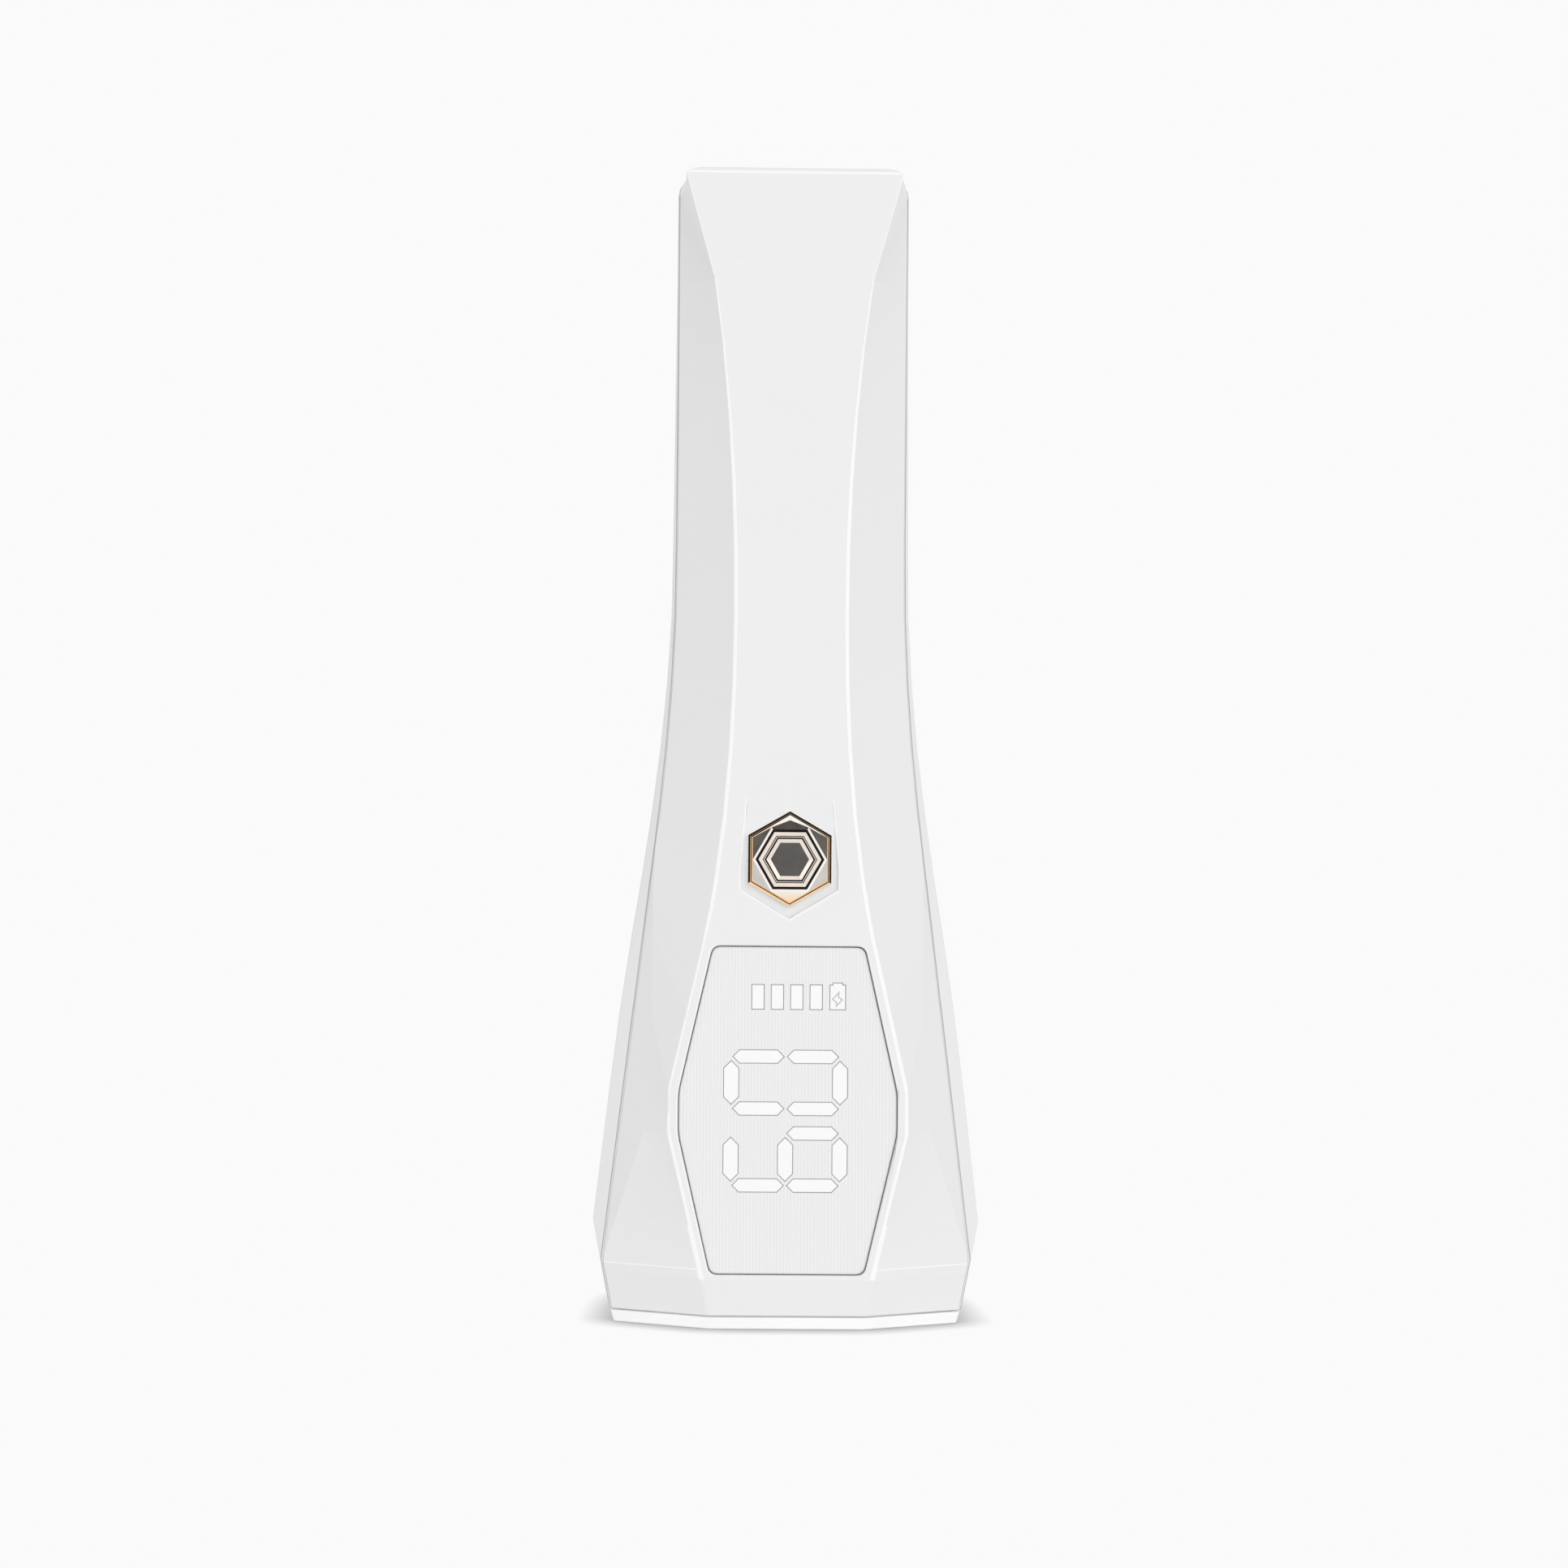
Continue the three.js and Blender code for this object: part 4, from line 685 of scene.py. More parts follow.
def keen(edge):
    """One for an outward edge that turns sharply, and nothing for the rest."""
    return float(math.degrees(edge.calc_face_angle_signed(0)) > RIM_TURN)


foot = dress("foot_moulded", rounded(welded("foot_plate"), keen, FOOT_ROUNDING, foot_plastic_painted_glow))
flatten_faces(foot)
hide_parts("foot_plate")

# %% [markdown]
# ## The display
# The display lies in a flat facet that leans back by a few degrees, so its parts are easier to
# place in the plane of that facet: u runs across, v up the slope and w out of it. The pale grey
# face plate has fine upright lines pressed into it. White segments of a light guide stand in
# its openings, and a thin dark gap runs round each. Here the plate and the guide are rounded
# copies of their CAD nodes, and the bolt on the battery mark is a thin inlay.

# %% Plane of the display
FACET_FOOT = Vector((0, -21.5, 8.2)) * MM
FACET_HEAD = Vector((0, -17.2, 63.8)) * MM
PLATE_SINK = 1 * MM
PLANE_SLACK = 0.05 * MM
MARKS_HALF = 11.5 * MM
MARKS_LOW = 8 * MM
MARKS_DROP = 7 * MM

slope = FACET_HEAD - FACET_FOOT
facet_up = slope.normalized()
facet_out = Vector((1, 0, 0)).cross(facet_up)


def on_facet(u, v, w=0.0):
    """A point on the facet: u across from the middle, v up from its foot, w out of it."""
    return FACET_FOOT + Vector((u, 0, 0)) + facet_up * v + facet_out * w


def outside_marks(point):
    """Whether a point of the plate lies nearer to its rim than to the marks."""
    height = (point - FACET_FOOT).dot(facet_up)
    return not (abs(point.x) <= MARKS_HALF and MARKS_LOW <= height <= slope.length - MARKS_DROP)


def front_rims(form, inner_share):
    """Rounds the edges of the front faces: outer ones fully, openings by their own share."""
    plane = on_facet(0, 0, -PLATE_SINK)
    front = {
        f for f in form.faces
        if abs((f.calc_center_median() - plane).dot(facet_out)) < PLANE_SLACK
        and f.normal.dot(facet_out) > SEAM_FACING}

    def share(edge):
        if sum(face in front for face in edge.link_faces) != 1:
            return 0
        return 1 if outside_marks(middle(edge)) else inner_share

    return share


print("facet leans back", round(math.degrees(math.atan2(facet_up.y, facet_up.z)), 1), "degrees")

# %% Materials of the display
LINE_PITCH = 0.55 * MM
LINE_DEPTH = 0.012 * MM
GUIDE_GLOW = 0.09

face_print, tree, shader = new_finish("face_print", (0.93, 0.93, 0.935), 0.32)
lines = stripes(tree, LINE_PITCH)
blend_colours(tree, shader, lines, (0.91, 0.91, 0.915), (0.96, 0.96, 0.965))
vary_gloss(tree, shader, noise(tree, 11 * MM, 3), 0.28, 0.38)
raise_relief(tree, shader, lines, LINE_DEPTH)

guide_white = clouded(
    "guide_white", ((0.94, 0.94, 0.945), (0.96, 0.96, 0.96)), cloud=4, gloss=(0.36, 0.46),
    haze=3, reliefs=[(0.2, 2, 0.004)], Emission_Strength=GUIDE_GLOW)

mark_grey, tree, shader = new_finish("mark_grey", (0.58, 0.58, 0.59), 0.5)
blend_colours(tree, shader, noise(tree, 0.4 * MM), (0.56, 0.56, 0.57), (0.6, 0.6, 0.61))
print("finishes for the face plate, the guide and the bolt")

# %% Face plate and light guide
FACE_ROUNDING = 0.35 * MM
GUIDE_ROUNDING = 0.1 * MM
OPENING_SHARE = 0.2

form = welded("display_face")
face = dress(
    "face_plate", rounded(form, front_rims(form, OPENING_SHARE), FACE_ROUNDING, face_print))
flatten_faces(face)
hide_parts("display_face")

form = welded("segment_guide")
guide = dress("light_segments", rounded(form, front_rims(form, 1), GUIDE_ROUNDING, guide_white))
flatten_faces(guide)
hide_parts("segment_guide")

# %% [markdown]
# ## Tools for drawn pieces
# The bolt, the button and its ring follow one rule: rings of corners, joined by bands of flat
# faces. Each band brings a plating, which may differ from side to side, so that painted
# reflections and painted shade lie on single sides. The rings of the button are hexagons, each
# with its own reach and depth. Depth is counted from the front inwards.

# %% Tools for drawn pieces
TO_CORNER = 1 / math.cos(math.pi / 6)
POINT_UP = math.pi / 2
FLAT_UP = math.pi / 3
cap_low, cap_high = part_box("button_cap")
gem_middle = (cap_low.z + cap_high.z) / 2


def hexagon(form, corner, depth, first):
    """Six corners round the middle of the button, the first one at a given angle. corner is one
    reach, or one for each corner."""
    reaches = corner if isinstance(corner, list) else [corner] * 6
    return [
        form.verts.new((
            reach * math.cos(first + math.pi / 3 * i), depth,
            gem_middle + reach * math.sin(first + math.pi / 3 * i)))
        for i, reach in enumerate(reaches)]


def band(form, outer, inner, platings=0):
    """Joins two rings by flat faces. platings is one slot, or one for each side."""
    for i in range(len(outer)):
        j = (i + 1) % len(outer)
        face = form.faces.new((outer[i], outer[j], inner[j], inner[i]))
        face.material_index = platings if isinstance(platings, int) else platings[i]


def closed_mesh(form, name):
    """Turns every face outwards and hands back the mesh."""
    bmesh.ops.recalc_face_normals(form, faces=form.faces)
    mesh = bpy.data.meshes.new(name)
    form.to_mesh(mesh)
    form.free()
    return mesh


print("middle of the button at", round(gem_middle / MM, 2), "mm")

# %% [markdown]
# ## The bolt on the battery mark
# The battery mark carries a small lightning bolt, drawn in outline. Its corners are laid out
# round the middle of the mark, a second ring of corners lies inside them, and the strip between
# the two rings gets a little height, so that the inlay is a closed body and no loose sheet.

# %% Bolt inlay
BOLT_MIDDLE = (8.02, 45.62)
BOLT_LINE = 0.17
BOLT_HEIGHT = 0.05 * MM
BOLT_CORNERS = [
    (0.2, 1.05), (-0.85, -0.1), (-0.16, -0.62), (-0.24, -1.2), (0.75, -0.16), (0.1, 0.3)]
LEAST_MITRE = 0.35


def inset(corners, by):
    """The same outline, with every side moved inwards by the same amount."""
    moved = []
    for i, corner in enumerate(corners):
        point = Vector(corner)
        before = (point - Vector(corners[i - 1])).normalized()
        after = (Vector(corners[(i + 1) % len(corners)]) - point).normalized()
        mitre = Vector((-before.y - after.y, before.x + after.x)).normalized()
        across = mitre.dot(Vector((-before.y, before.x)))
        moved.append(point + mitre * (by / max(LEAST_MITRE, across)))
    return moved


form = bmesh.new()
low_outer, high_outer, low_inner, high_inner = [
    [form.verts.new(on_facet((BOLT_MIDDLE[0] + u) * MM, (BOLT_MIDDLE[1] + v) * MM, w - PLATE_SINK))
     for u, v in inset(BOLT_CORNERS, by)]
    for by in (-BOLT_LINE / 2, BOLT_LINE / 2) for w in (-BOLT_HEIGHT, BOLT_HEIGHT)]
band(form, high_outer, high_inner)
band(form, low_inner, low_outer)
band(form, low_outer, high_outer)
band(form, high_inner, low_inner)
bolt = dress("bolt_inlay", closed_mesh(form, "bolt_inlay"), [mark_grey])
print("bolt", len(bolt.data.polygons), "faces")

# %% [markdown]
# ## The ring round the button
# The button sits in a slim hexagonal ring with a rose gold plating. Seen from in front it is
# framed by a dark line above and at its sides, and shines along its two lower edges. The dark line
# is a painted reflection: the bevel outside the upper edges is painted near black, the rest is
# gold. The wall inside the upper edges is painted brown, as painted shade, since it looks down.
# The short wall outside is left in bare nickel, which throws the light of the recess back without
# a tint.

# %% Plated ring
rose_gold = plated(
    "rose_gold", ((0.96, 0.68, 0.42), (1.0, 0.74, 0.49)), cloud=3, gloss=(0.2, 0.3), haze=2)
# Painted shade for the upper inner wall, which looks down
brown_painted_shade = plated(
    "brown_painted_shade", ((0.34, 0.17, 0.07), (0.5, 0.28, 0.12)), cloud=3, gloss=(0.24, 0.36), haze=2)
# Painted dark reflection for the upper outer bevel, and for the gem's black lines
black_painted_reflection = plated("black_painted_reflection", ((0.016, 0.013, 0.011), (0.026, 0.022, 0.019)),
                      cloud=2, gloss=(0.2, 0.32), haze=1)
bare_nickel = plated("bare_nickel", ((0.92, 0.92, 0.92), (0.97, 0.97, 0.97)),
                     cloud=2, gloss=(0.26, 0.36), haze=1)

RING_PLATINGS = [rose_gold, brown_painted_shade, black_painted_reflection, bare_nickel]
GOLD, BROWN_SHADE, DARK_REFLECTION, BARE = range(len(RING_PLATINGS))
# One plating for each side, from the upper left round by the left, the foot and the right
# The dark upper sides are a painted reflection, the brown ones painted shade
OUTER_BEVEL = [DARK_REFLECTION, DARK_REFLECTION, GOLD, GOLD, DARK_REFLECTION, DARK_REFLECTION]
INNER_BEVEL = [BROWN_SHADE, GOLD, GOLD, GOLD, GOLD, BROWN_SHADE]

# Hexagons of the ring from its outer wall to its back: distance to the flat side, depth behind
# the front, both in millimetres, and the plating of the band that ends there
ring_tall = (ring_high.y - ring_low.y) / MM
RING_STEPS = [
    (6.8, 0.3, BARE), (6.47, 0, OUTER_BEVEL), (6.41, 0, INNER_BEVEL),
    (6.34, 0.2, INNER_BEVEL), (6.34, 1.2, INNER_BEVEL), (5.2, 1.2, DARK_REFLECTION), (5.2, ring_tall, DARK_REFLECTION),
    (5.9, ring_tall, DARK_REFLECTION), (5.9, RING_PROUD / MM, DARK_REFLECTION),
]


def stepped(form, outer, steps, front, first):
    """Joins a row of hexagons inwards from the outer one, and hands back the last."""
    for flat, depth, platings in steps:
        inner = hexagon(form, flat * MM * TO_CORNER, front + depth * MM, first)
        band(form, outer, inner, platings)
        outer = inner
    return outer


form = bmesh.new()
wall_foot = hexagon(
    form, RING_STEPS[0][0] * MM * TO_CORNER, ring_low.y + RING_PROUD, POINT_UP)
last = stepped(form, wall_foot, RING_STEPS, ring_low.y, POINT_UP)
band(form, last, wall_foot, DARK_REFLECTION)
ring = dress("button_ring", closed_mesh(form, "button_ring"), RING_PLATINGS)
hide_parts("button_bezel")
print("ring", len(ring.data.polygons), "faces")

# %% [markdown]
# ## The gem button
# The button looks like a cut stone: six corner facets rise from a hexagon with a corner up to one
# with a flat side up, and inside that lies a stepped relief of plated rings with black lines
# between them and a plain dark plate in the middle. The bands between the hexagons do all of it.
# The black lines and cream rings of the relief are painted reflections, the upper corner facets
# are painted smoked and the lower ones pale, and the lowest runs from cream to peach, painted too.

# %% Platings of the gem
GEM_FLAT = 6.26 * MM
REFLECTED_PEACH, REFLECTED_CREAM = (1.0, 0.73, 0.46), (0.95, 0.88, 0.8)
PEACH_END, CREAM_START = 0.95, 0.75
GEM_GLOSS = (0.246, 0.366)

# Painted reflections and a painted highlight for the gem's facets, rims and relief
smoked_painted_reflection = plated(
    "smoked_painted_reflection", ((0.08, 0.068, 0.06), (0.15, 0.13, 0.115)), cloud=4, gloss=GEM_GLOSS,
    reliefs=[(0.08, 2, 0.0015)])
pale_painted_reflection = plated(
    "pale_painted_reflection", ((0.6, 0.56, 0.52), (0.72, 0.69, 0.65)), cloud=3, gloss=GEM_GLOSS)
painted_highlight_edge = plated(
    "painted_highlight_edge", ((0.96, 0.93, 0.9), (1.0, 0.98, 0.96)), cloud=2, gloss=GEM_GLOSS)
cream_painted_reflection = plated(
    "cream_painted_reflection", ((0.87, 0.77, 0.68), (0.93, 0.85, 0.78)), cloud=2, gloss=(0.2296, 0.3416))
dark_plate = clouded(
    "dark_plate", ((0.078, 0.071, 0.067), (0.098, 0.09, 0.084)), cloud=1.2,
    gloss=(0.41, 0.61), haze=0.3, detail=4, reliefs=[(0.12, 2, 0.003)])

# The lowest facet: a painted reflection that runs from peach at the bottom to cream
peach_painted_reflection, tree, shader = new_finish("peach_painted_reflection", REFLECTED_PEACH, 0.26, 1.0)
height = add(tree, "SeparateXYZ", Vector=own_place(tree)).outputs["Z"]
fade = add(
    tree, "MapRange", Value=height, From_Min=gem_middle - PEACH_END * GEM_FLAT * TO_CORNER,
    From_Max=gem_middle - CREAM_START * GEM_FLAT * TO_CORNER)
fill(shader, Base_Color=mixed(tree, fade.outputs["Result"], REFLECTED_PEACH, REFLECTED_CREAM))
vary_gloss(tree, shader, noise(tree, 0.3 * MM, 4), 0.22, 0.32)

GEM_PLATINGS = [smoked_painted_reflection, pale_painted_reflection, peach_painted_reflection, painted_highlight_edge, black_painted_reflection, cream_painted_reflection,
                dark_plate, rose_gold]
SMOKED_REFLECTION, PALE_REFLECTION, PEACH_REFLECTION, HIGHLIGHT, BLACK_REFLECTION, CREAM_REFLECTION, PLATE, ROSE = range(len(GEM_PLATINGS))
print("platings", [m.name for m in GEM_PLATINGS])

# %% Gem
GEM_CROWN = 6.05 * MM
GEM_RISE = 1 * MM
GEM_STEP = 0.12 * MM
# Distance of the facets' outer corners from the middle, from the top one round by the left
FACET_CORNERS = [reach * MM for reach in (6.4, 7.06, 7.06, 7.0, 7.06, 7.06)]
# Upper facets painted smoked, lower ones pale, as painted reflections; upper rims painted
# highlight
FACET_PLATINGS = [SMOKED_REFLECTION, SMOKED_REFLECTION, PALE_REFLECTION, PEACH_REFLECTION, PALE_REFLECTION, SMOKED_REFLECTION]
RIM_PLATINGS = [HIGHLIGHT, ROSE, ROSE, ROSE, ROSE, HIGHLIGHT]
# The chamfer round the relief: a painted dark reflection on top, a painted highlight elsewhere
CHAMFER = [SMOKED_REFLECTION, HIGHLIGHT, HIGHLIGHT, HIGHLIGHT, HIGHLIGHT, HIGHLIGHT]

# Steps of the relief from the crown inwards: distance to the flat side, depth below the crown,
# both in millimetres, and the plating of the band that ends there
RELIEF_STEPS = [
    (4.88, 0.1, CHAMFER), (4.82, 0.5, BLACK_REFLECTION), (4.48, 0.5, BLACK_REFLECTION), (4.44, 0.12, BLACK_REFLECTION),
    (3.86, 0.06, CREAM_REFLECTION), (3.82, 0.25, SMOKED_REFLECTION), (3.74, 0.25, SMOKED_REFLECTION), (3.7, 0.12, CREAM_REFLECTION),
    (3.6, 0.12, CREAM_REFLECTION), (3.56, 0.45, BLACK_REFLECTION), (3.36, 0.45, BLACK_REFLECTION), (3.32, 0.2, BLACK_REFLECTION),
    (2.72, 0.5, CREAM_REFLECTION),
]
crown_depth = cap_low.y
rim_depth = crown_depth + GEM_RISE
# The same from the rim backwards, with depths behind the rim: the girdle, its back and the neck
NECK_STEPS = [(GEM_FLAT / MM, 0.4, BLACK_REFLECTION), (4.9, 0.4, BLACK_REFLECTION),
              (4.9, (cap_high.y - rim_depth) / MM, BLACK_REFLECTION)]

form = bmesh.new()
rim = hexagon(form, GEM_FLAT * TO_CORNER, rim_depth, POINT_UP)
facet_ends = hexagon(form, FACET_CORNERS, rim_depth - GEM_STEP, POINT_UP)
crown = hexagon(form, GEM_CROWN, crown_depth, FLAT_UP)
band(form, rim, facet_ends, RIM_PLATINGS)
for i in range(6):
    j = (i + 1) % 6
    form.faces.new((facet_ends[i], crown[i], crown[j])).material_index = FACET_PLATINGS[i]
    form.faces.new((facet_ends[i], crown[j], facet_ends[j])).material_index = HIGHLIGHT
inmost = stepped(form, crown, RELIEF_STEPS, crown_depth, FLAT_UP)
form.faces.new(inmost).material_index = PLATE
neck_end = stepped(form, rim, NECK_STEPS, rim_depth, POINT_UP)
form.faces.new(neck_end).material_index = BLACK_REFLECTION
gem = dress("gem_cap", closed_mesh(form, "gem_cap"), GEM_PLATINGS, "button")
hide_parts("button_cap")
print("gem", len(gem.data.polygons), "faces")

# %% [markdown]
# ## Growing repeated pieces with Geometry Nodes
# Some pieces are one form repeated: the domes on the light chips, the contacts of the charging
# socket, the screws. A small node tree says the form once and where it is repeated, with its
# sizes as named inputs. The modifier is run once, its result is kept as a plain mesh, and the
# modifier goes, so that the piece can be exported like any other.

# %% Tools for grown pieces
SIZE_KINDS = {int: "Int", float: "Float", tuple: "Vector", bpy.types.Material: "Material"}


class Grower:
    """A Geometry Nodes tree with named sizes, and the mesh that it grows."""

    def __init__(self, name, **sizes):
        self.sizes = sizes
        self.tree = bpy.data.node_groups.new(name, "GeometryNodeTree")
        face = self.tree.interface
        face.new_socket("Geometry", in_out="INPUT", socket_type="NodeSocketGeometry")
        for label, value in sizes.items():
            kind = "NodeSocket" + SIZE_KINDS[type(value)]
            face.new_socket(label, in_out="INPUT", socket_type=kind)
        face.new_socket("Geometry", in_out="OUTPUT", socket_type="NodeSocketGeometry")
        self.start = self.tree.nodes.new("NodeGroupInput")
        self.end = self.tree.nodes.new("NodeGroupOutput")

    def step(self, kind, settings=None, **inputs):
        """Adds one node and hands back its first output. A word as input names a size."""
        for label, value in inputs.items():
            if isinstance(value, str):
                inputs[label] = self.start.outputs[value]
        return add(self.tree, kind, settings, **inputs).outputs[0]

    def finish(self, points, form):
        """Every tree ends the same way: one form on each point, and its material."""
        copies = self.step("InstanceOnPoints", Points=points, Instance=form)
        real = self.step("RealizeInstances", Geometry=copies)
        done = self.step("SetMaterial", Geometry=real, Material="Finish")
        self.tree.links.new(done, self.end.inputs[0])

    def grow(self, name, points=((0, 0, 0),), **changed):
        """Runs the tree on a cloud of points, some sizes changed, and returns the plain mesh."""
        sizes = {**self.sizes, **changed}
        base = bpy.data.meshes.new(name + "_points")
        base.from_pydata(points, [], [])
        holder = put(name + "_points", base)
        modifier = holder.modifiers.new("grow", "NODES")
        modifier.node_group = self.tree
        for item in self.tree.interface.items_tree:
            if item.in_out == "INPUT" and item.name in sizes:
                modifier[item.identifier] = sizes[item.name]
        mesh = applied(holder)
        mesh.name = name
        print(name, len(mesh.polygons), "faces")
        return mesh


def place_grown(mesh):
    piece = dress(mesh.name, mesh)
    return piece


print("grower ready")

# %% [markdown]
# ## The lamp window in the back of the head
# Behind the head lies the lamp proper: a clear cover, a bright reflector tray with twelve cups,
# and in each cup a light chip on a white board. The cover is clear plastic with a fine prismatic
# texture. Real glass in a path tracer would leave the cups dark, because light through it isn't
# followed well, so the cover is a glossy sheet with little opacity, which lets the light pass.
# On each chip sits a domed drop of clear silicone, grown on the grid of the cups.

# %% Cover, tray and light chips
RIB_PITCH = 1.1 * MM
RIB_DEPTH = 0.02 * MM
DOME_RADIUS = 1.15 * MM
DOME_FLATNESS = (1.0, 0.55, 1.0)

cover_clear, tree, shader = new_finish(
    "cover_clear", (0.9, 0.92, 0.94), 0.12, Alpha=0.22, Coat_Weight=0.4)
for direction in "XZ":
    raise_relief(tree, shader, stripes(tree, RIB_PITCH, direction), RIB_DEPTH)
vary_gloss(tree, shader, noise(tree, 7 * MM, 3), 0.08, 0.16)

mirror_coat = plated(
    "mirror_coat", ((0.83, 0.84, 0.86), (0.89, 0.9, 0.9)), cloud=8, gloss=(0.1, 0.22),
    haze=1.5, reliefs=[(2.5, 2, 0.01)])
silicone = clouded(
    "chip_silicone", ((0.9, 0.74, 0.24), (0.95, 0.85, 0.42)), cloud=0.8, gloss=(0.08, 0.14),
    haze=0.6, detail=2, Coat_Weight=0.8)

first_low, first_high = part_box("lamp_led_01")
last_low, last_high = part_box("lamp_led_12")
chip_span = (last_low + last_high - first_low - first_high) / 2
chip_middle = (first_low + first_high + last_low + last_high) / 4
domes = Grower(
    "dome_grid", Across=3, Up=4, Width=abs(chip_span.x), Height=abs(chip_span.z),
    Radius=DOME_RADIUS, Flatness=DOME_FLATNESS, Finish=silicone,
    Middle=(chip_middle.x, first_high.y, chip_middle.z))
spots = domes.step("MeshGrid", Size_X="Width", Size_Y="Height", Vertices_X="Across",
                   Vertices_Y="Up")
stood = domes.step(
    "Transform", Geometry=spots, Rotation=(math.pi / 2, 0, 0), Translation="Middle")
drop = domes.step("MeshUVSphere", Segments=20, Rings=12, Radius="Radius")
flat_drop = domes.step("Transform", Geometry=drop, Scale="Flatness")
domes.finish(stood, domes.step("SetShadeSmooth", Geometry=flat_drop))
place_grown(domes.grow("chip_domes"))

# %% [markdown]
# ## Screws in the back shell
# Six screws hold the shells together, deep in round pockets. Each has a flat cone of a head with
# a cross recess for the driver. The tree cuts the cross out of one head and sets that head on six
# points, which are read from the CAD screws, so that each stands exactly where its thread is.

# %% Case screws
HEAD_TALL = 1.4 * MM
CROSS_LONG, CROSS_WIDE = 2.4 * MM, 0.55 * MM


def numbered(stem, count):
    return [f"{stem}_{i}" for i in range(1, count + 1)]


SCREW_NAMES = numbered("case_screw", 6)

zinc = plated(
    "zinc_plate", ((0.56, 0.57, 0.6), (0.68, 0.69, 0.69)), cloud=1.2, gloss=(0.24, 0.42),
    haze=0.4, reliefs=[(0.15, 2, 0.004)])

heads = []
for name in SCREW_NAMES:
    low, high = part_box(name)
    heads.append(((low.x + high.x) / 2, high.y - HEAD_TALL, (low.z + high.z) / 2))
shank_long = high.y - low.y - HEAD_TALL

screws = Grower(
    "screw_row", Head_radius=2 * MM, Top_radius=1.6 * MM, Head_height=HEAD_TALL,
    Shank_radius=1.1 * MM, Shank_length=shank_long, Shank_place=(0, 0, -shank_long / 2),
    Cross_long=(CROSS_LONG, CROSS_WIDE, HEAD_TALL), Cross_place=(0, 0, HEAD_TALL),
    Cross_short=(CROSS_WIDE, CROSS_LONG, HEAD_TALL), Finish=zinc)
cone = screws.step("MeshCone", Vertices=28, Radius_Top="Top_radius", Radius_Bottom="Head_radius",
                   Depth="Head_height")
bars = [
    screws.step("Transform", Translation="Cross_place",
                Geometry=screws.step("MeshCube", Size=label))
    for label in ("Cross_long", "Cross_short")]
head = screws.step("MeshBoolean", {"operation": "DIFFERENCE", "solver": "EXACT"},
                   Mesh_1=cone, Mesh_2=bars)
shank = screws.step("MeshCylinder", Vertices=20, Radius="Shank_radius", Depth="Shank_length")
lowered = screws.step("Transform", Geometry=shank, Translation="Shank_place")
screw = screws.step("JoinGeometry", Geometry=[head, lowered])
screws.finish("Geometry", screws.step("Transform", Geometry=screw, Rotation=(-math.pi / 2, 0, 0)))
screw_piece = place_grown(screws.grow("case_screws", heads))
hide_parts(*SCREW_NAMES)

# %% [markdown]
# ## The charging socket
# The tail end has a charging socket: a steel sleeve with a black tongue in it, and a row of flat
# gold contacts on each side of the tongue. A contact is one small block, repeated along a line.

# %% Socket contacts
CONTACT_PITCH = 0.5 * MM
CONTACT_COUNT = 12
CONTACT_START = -CONTACT_PITCH * (CONTACT_COUNT - 1) / 2
CONTACT_SIZE = (0.28 * MM, 0.08 * MM, 3.4 * MM)
CONTACT_SINK = 2.1 * MM
TONGUE_HALF = 0.35 * MM

contact_gold = clouded(
    "contact_gold", ((0.82, 0.6, 0.26), (0.88, 0.7, 0.36)), cloud=0.5, gloss=(0.22, 0.36),
    haze=0.2, detail=2, metal=1.0)

contacts = Grower("contact_row", Count=CONTACT_COUNT, Block=CONTACT_SIZE, Start=(0, 0, 0),
                  Step=(CONTACT_PITCH, 0, 0), Finish=contact_gold)
row = contacts.step("MeshLine", Count="Count", Start_Location="Start", Offset="Step")
contacts.finish(row, contacts.step("MeshCube", Size="Block"))

tongue_low, tongue_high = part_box("usb_tongue")
tongue_middle = (tongue_low.y + tongue_high.y) / 2
for side, place in (("front", -TONGUE_HALF), ("back", TONGUE_HALF)):
    start = (CONTACT_START, tongue_middle + place, tongue_high.z - CONTACT_SINK)
    place_grown(contacts.grow("contacts_" + side, Start=start))

# %% [markdown]
# ## Finishes for the works inside
# Nothing inside the housing shows from outside, but each part still gets the finish of the real
# thing, because the shells can be taken away to look inside. A table gives each finish its two
# tones, its roughness, its metal, the size and depth of its grain, and any stretch of that grain.
# One loop makes them.

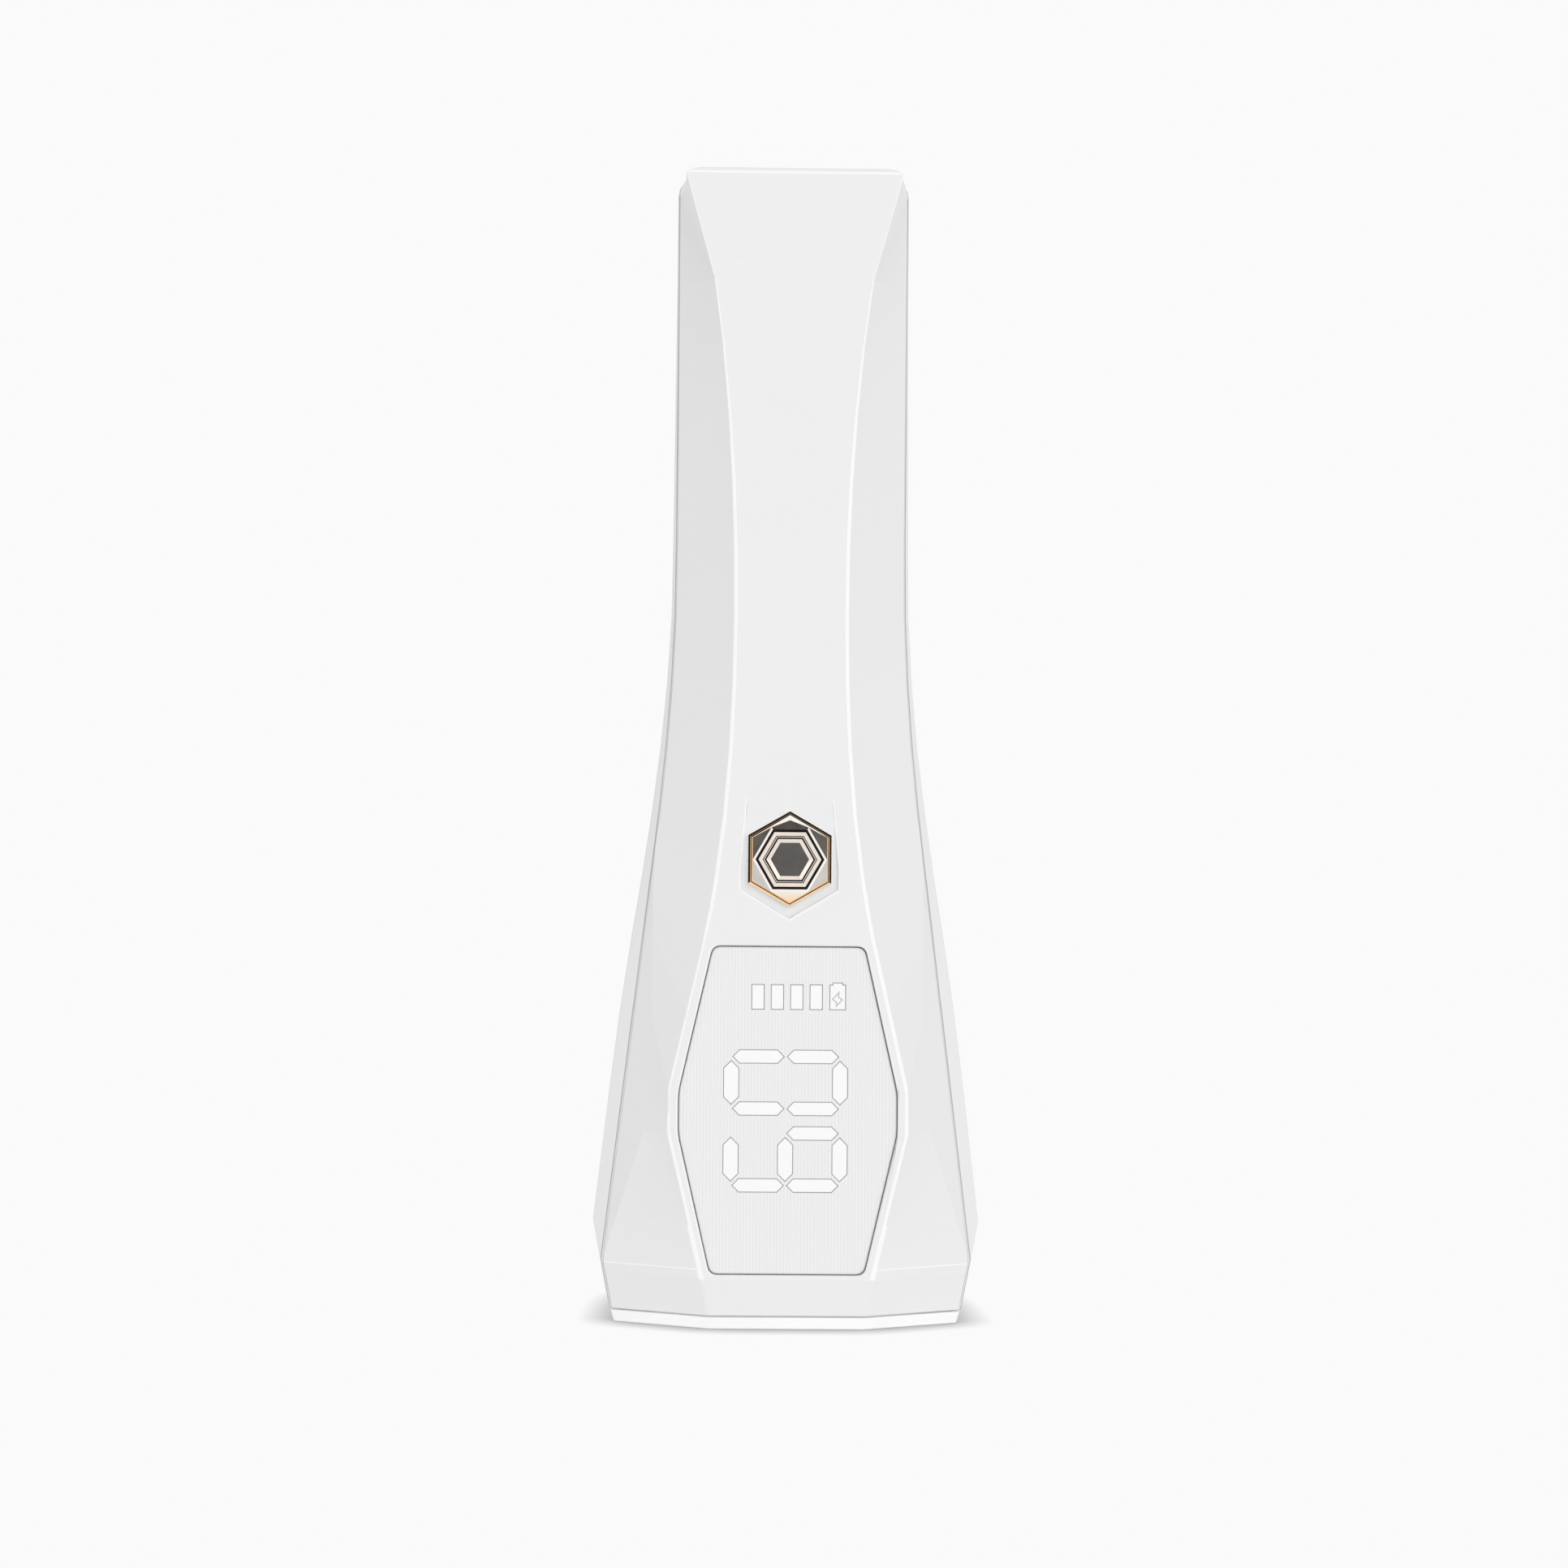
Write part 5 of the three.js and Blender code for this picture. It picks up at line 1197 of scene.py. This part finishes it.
# %% Inner finishes
INNER = {
    "solder_mask": (["display_board", "control_board", "usb_board"],
                    (0.015, 0.12, 0.05), (0.03, 0.2, 0.09), 0.4, 0, 1.6, 0.03),
    "white_mask": (["lamp_board"], (0.8, 0.81, 0.81), (0.88, 0.88, 0.87), 0.45, 0, 2, 0.02),
    "black_moulding": (["display_header", "button_plunger", "tact_switch", "usb_tongue"],
                       (0.018, 0.018, 0.02), (0.03, 0.03, 0.032), 0.5, 0, 0.3, 0.01),
    "turned_brass": (["switch_pin"],
                     (0.62, 0.44, 0.18), (0.72, 0.54, 0.26), 0.3, 1, 0.2, 0.004, (1, 8, 1)),
    "sheet_steel": (["battery_tab_plus", "battery_tab_minus", "usb_shell",
                     *numbered("board_screw", 4), *numbered("lamp_screw", 4)],
                    (0.5, 0.51, 0.53), (0.66, 0.67, 0.68), 0.32, 1, 0.4, 0.004, (1, 1, 6)),
    "drawn_aluminium": (["heat_spreader"],
                        (0.62, 0.63, 0.65), (0.76, 0.77, 0.78), 0.36, 1, 0.6, 0.01, (6, 6, 0.3)),
    "chip_ceramic": ([f"lamp_led_{i:02d}" for i in range(1, 13)],
                     (0.72, 0.6, 0.2), (0.85, 0.78, 0.45), 0.5, 0, 0.4, 0.01),
    "cell_wrap": (["battery_cell"],
                  (0.03, 0.16, 0.3), (0.05, 0.24, 0.4), 0.32, 0, 3, 0.04, (1, 1, 0.4)),
    "black_foam": (["foam_pad_1", "foam_pad_2"],
                   (0.03, 0.03, 0.032), (0.06, 0.06, 0.062), 0.9, 0, 0.5, 0.2),
    "red_sheath": (["battery_lead_red", "lamp_lead"],
                   (0.4, 0.012, 0.01), (0.56, 0.03, 0.02), 0.42, 0, 1.2, 0.02),
    "black_sheath": (["battery_lead_black", "usb_lead"],
                     (0.012, 0.012, 0.013), (0.026, 0.026, 0.027), 0.42, 0, 1.2, 0.02),
}


def paint_node(name, material):
    mesh = nodes[name].data
    mesh.materials.clear()
    mesh.materials.append(material)


for finish, (names, dark, light, gloss, metal, grain, depth, *stretch) in INNER.items():
    material, tree, shader = new_finish(finish, light, gloss, metal)
    pattern = noise(tree, grain * MM, 3, *stretch)
    blend_colours(tree, shader, pattern, dark, light)
    haze = noise(tree, 2 * grain * MM, 3, *stretch)
    vary_gloss(tree, shader, haze, 0.8 * gloss, 1.15 * gloss)
    raise_relief(tree, shader, pattern, depth * MM)
    for name in names:
        paint_node(name, material)
paint_node("lamp_cover", cover_clear)
paint_node("reflector_tray", mirror_coat)
print("inner finishes", len(INNER))

# %% [markdown]
# ## Sizes
# The box round every shown piece is written out in millimetres.

# %% Sizes and finish
low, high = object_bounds()
print("box", [round(x / MM, 2) for x in (*low, *high)], "mm")
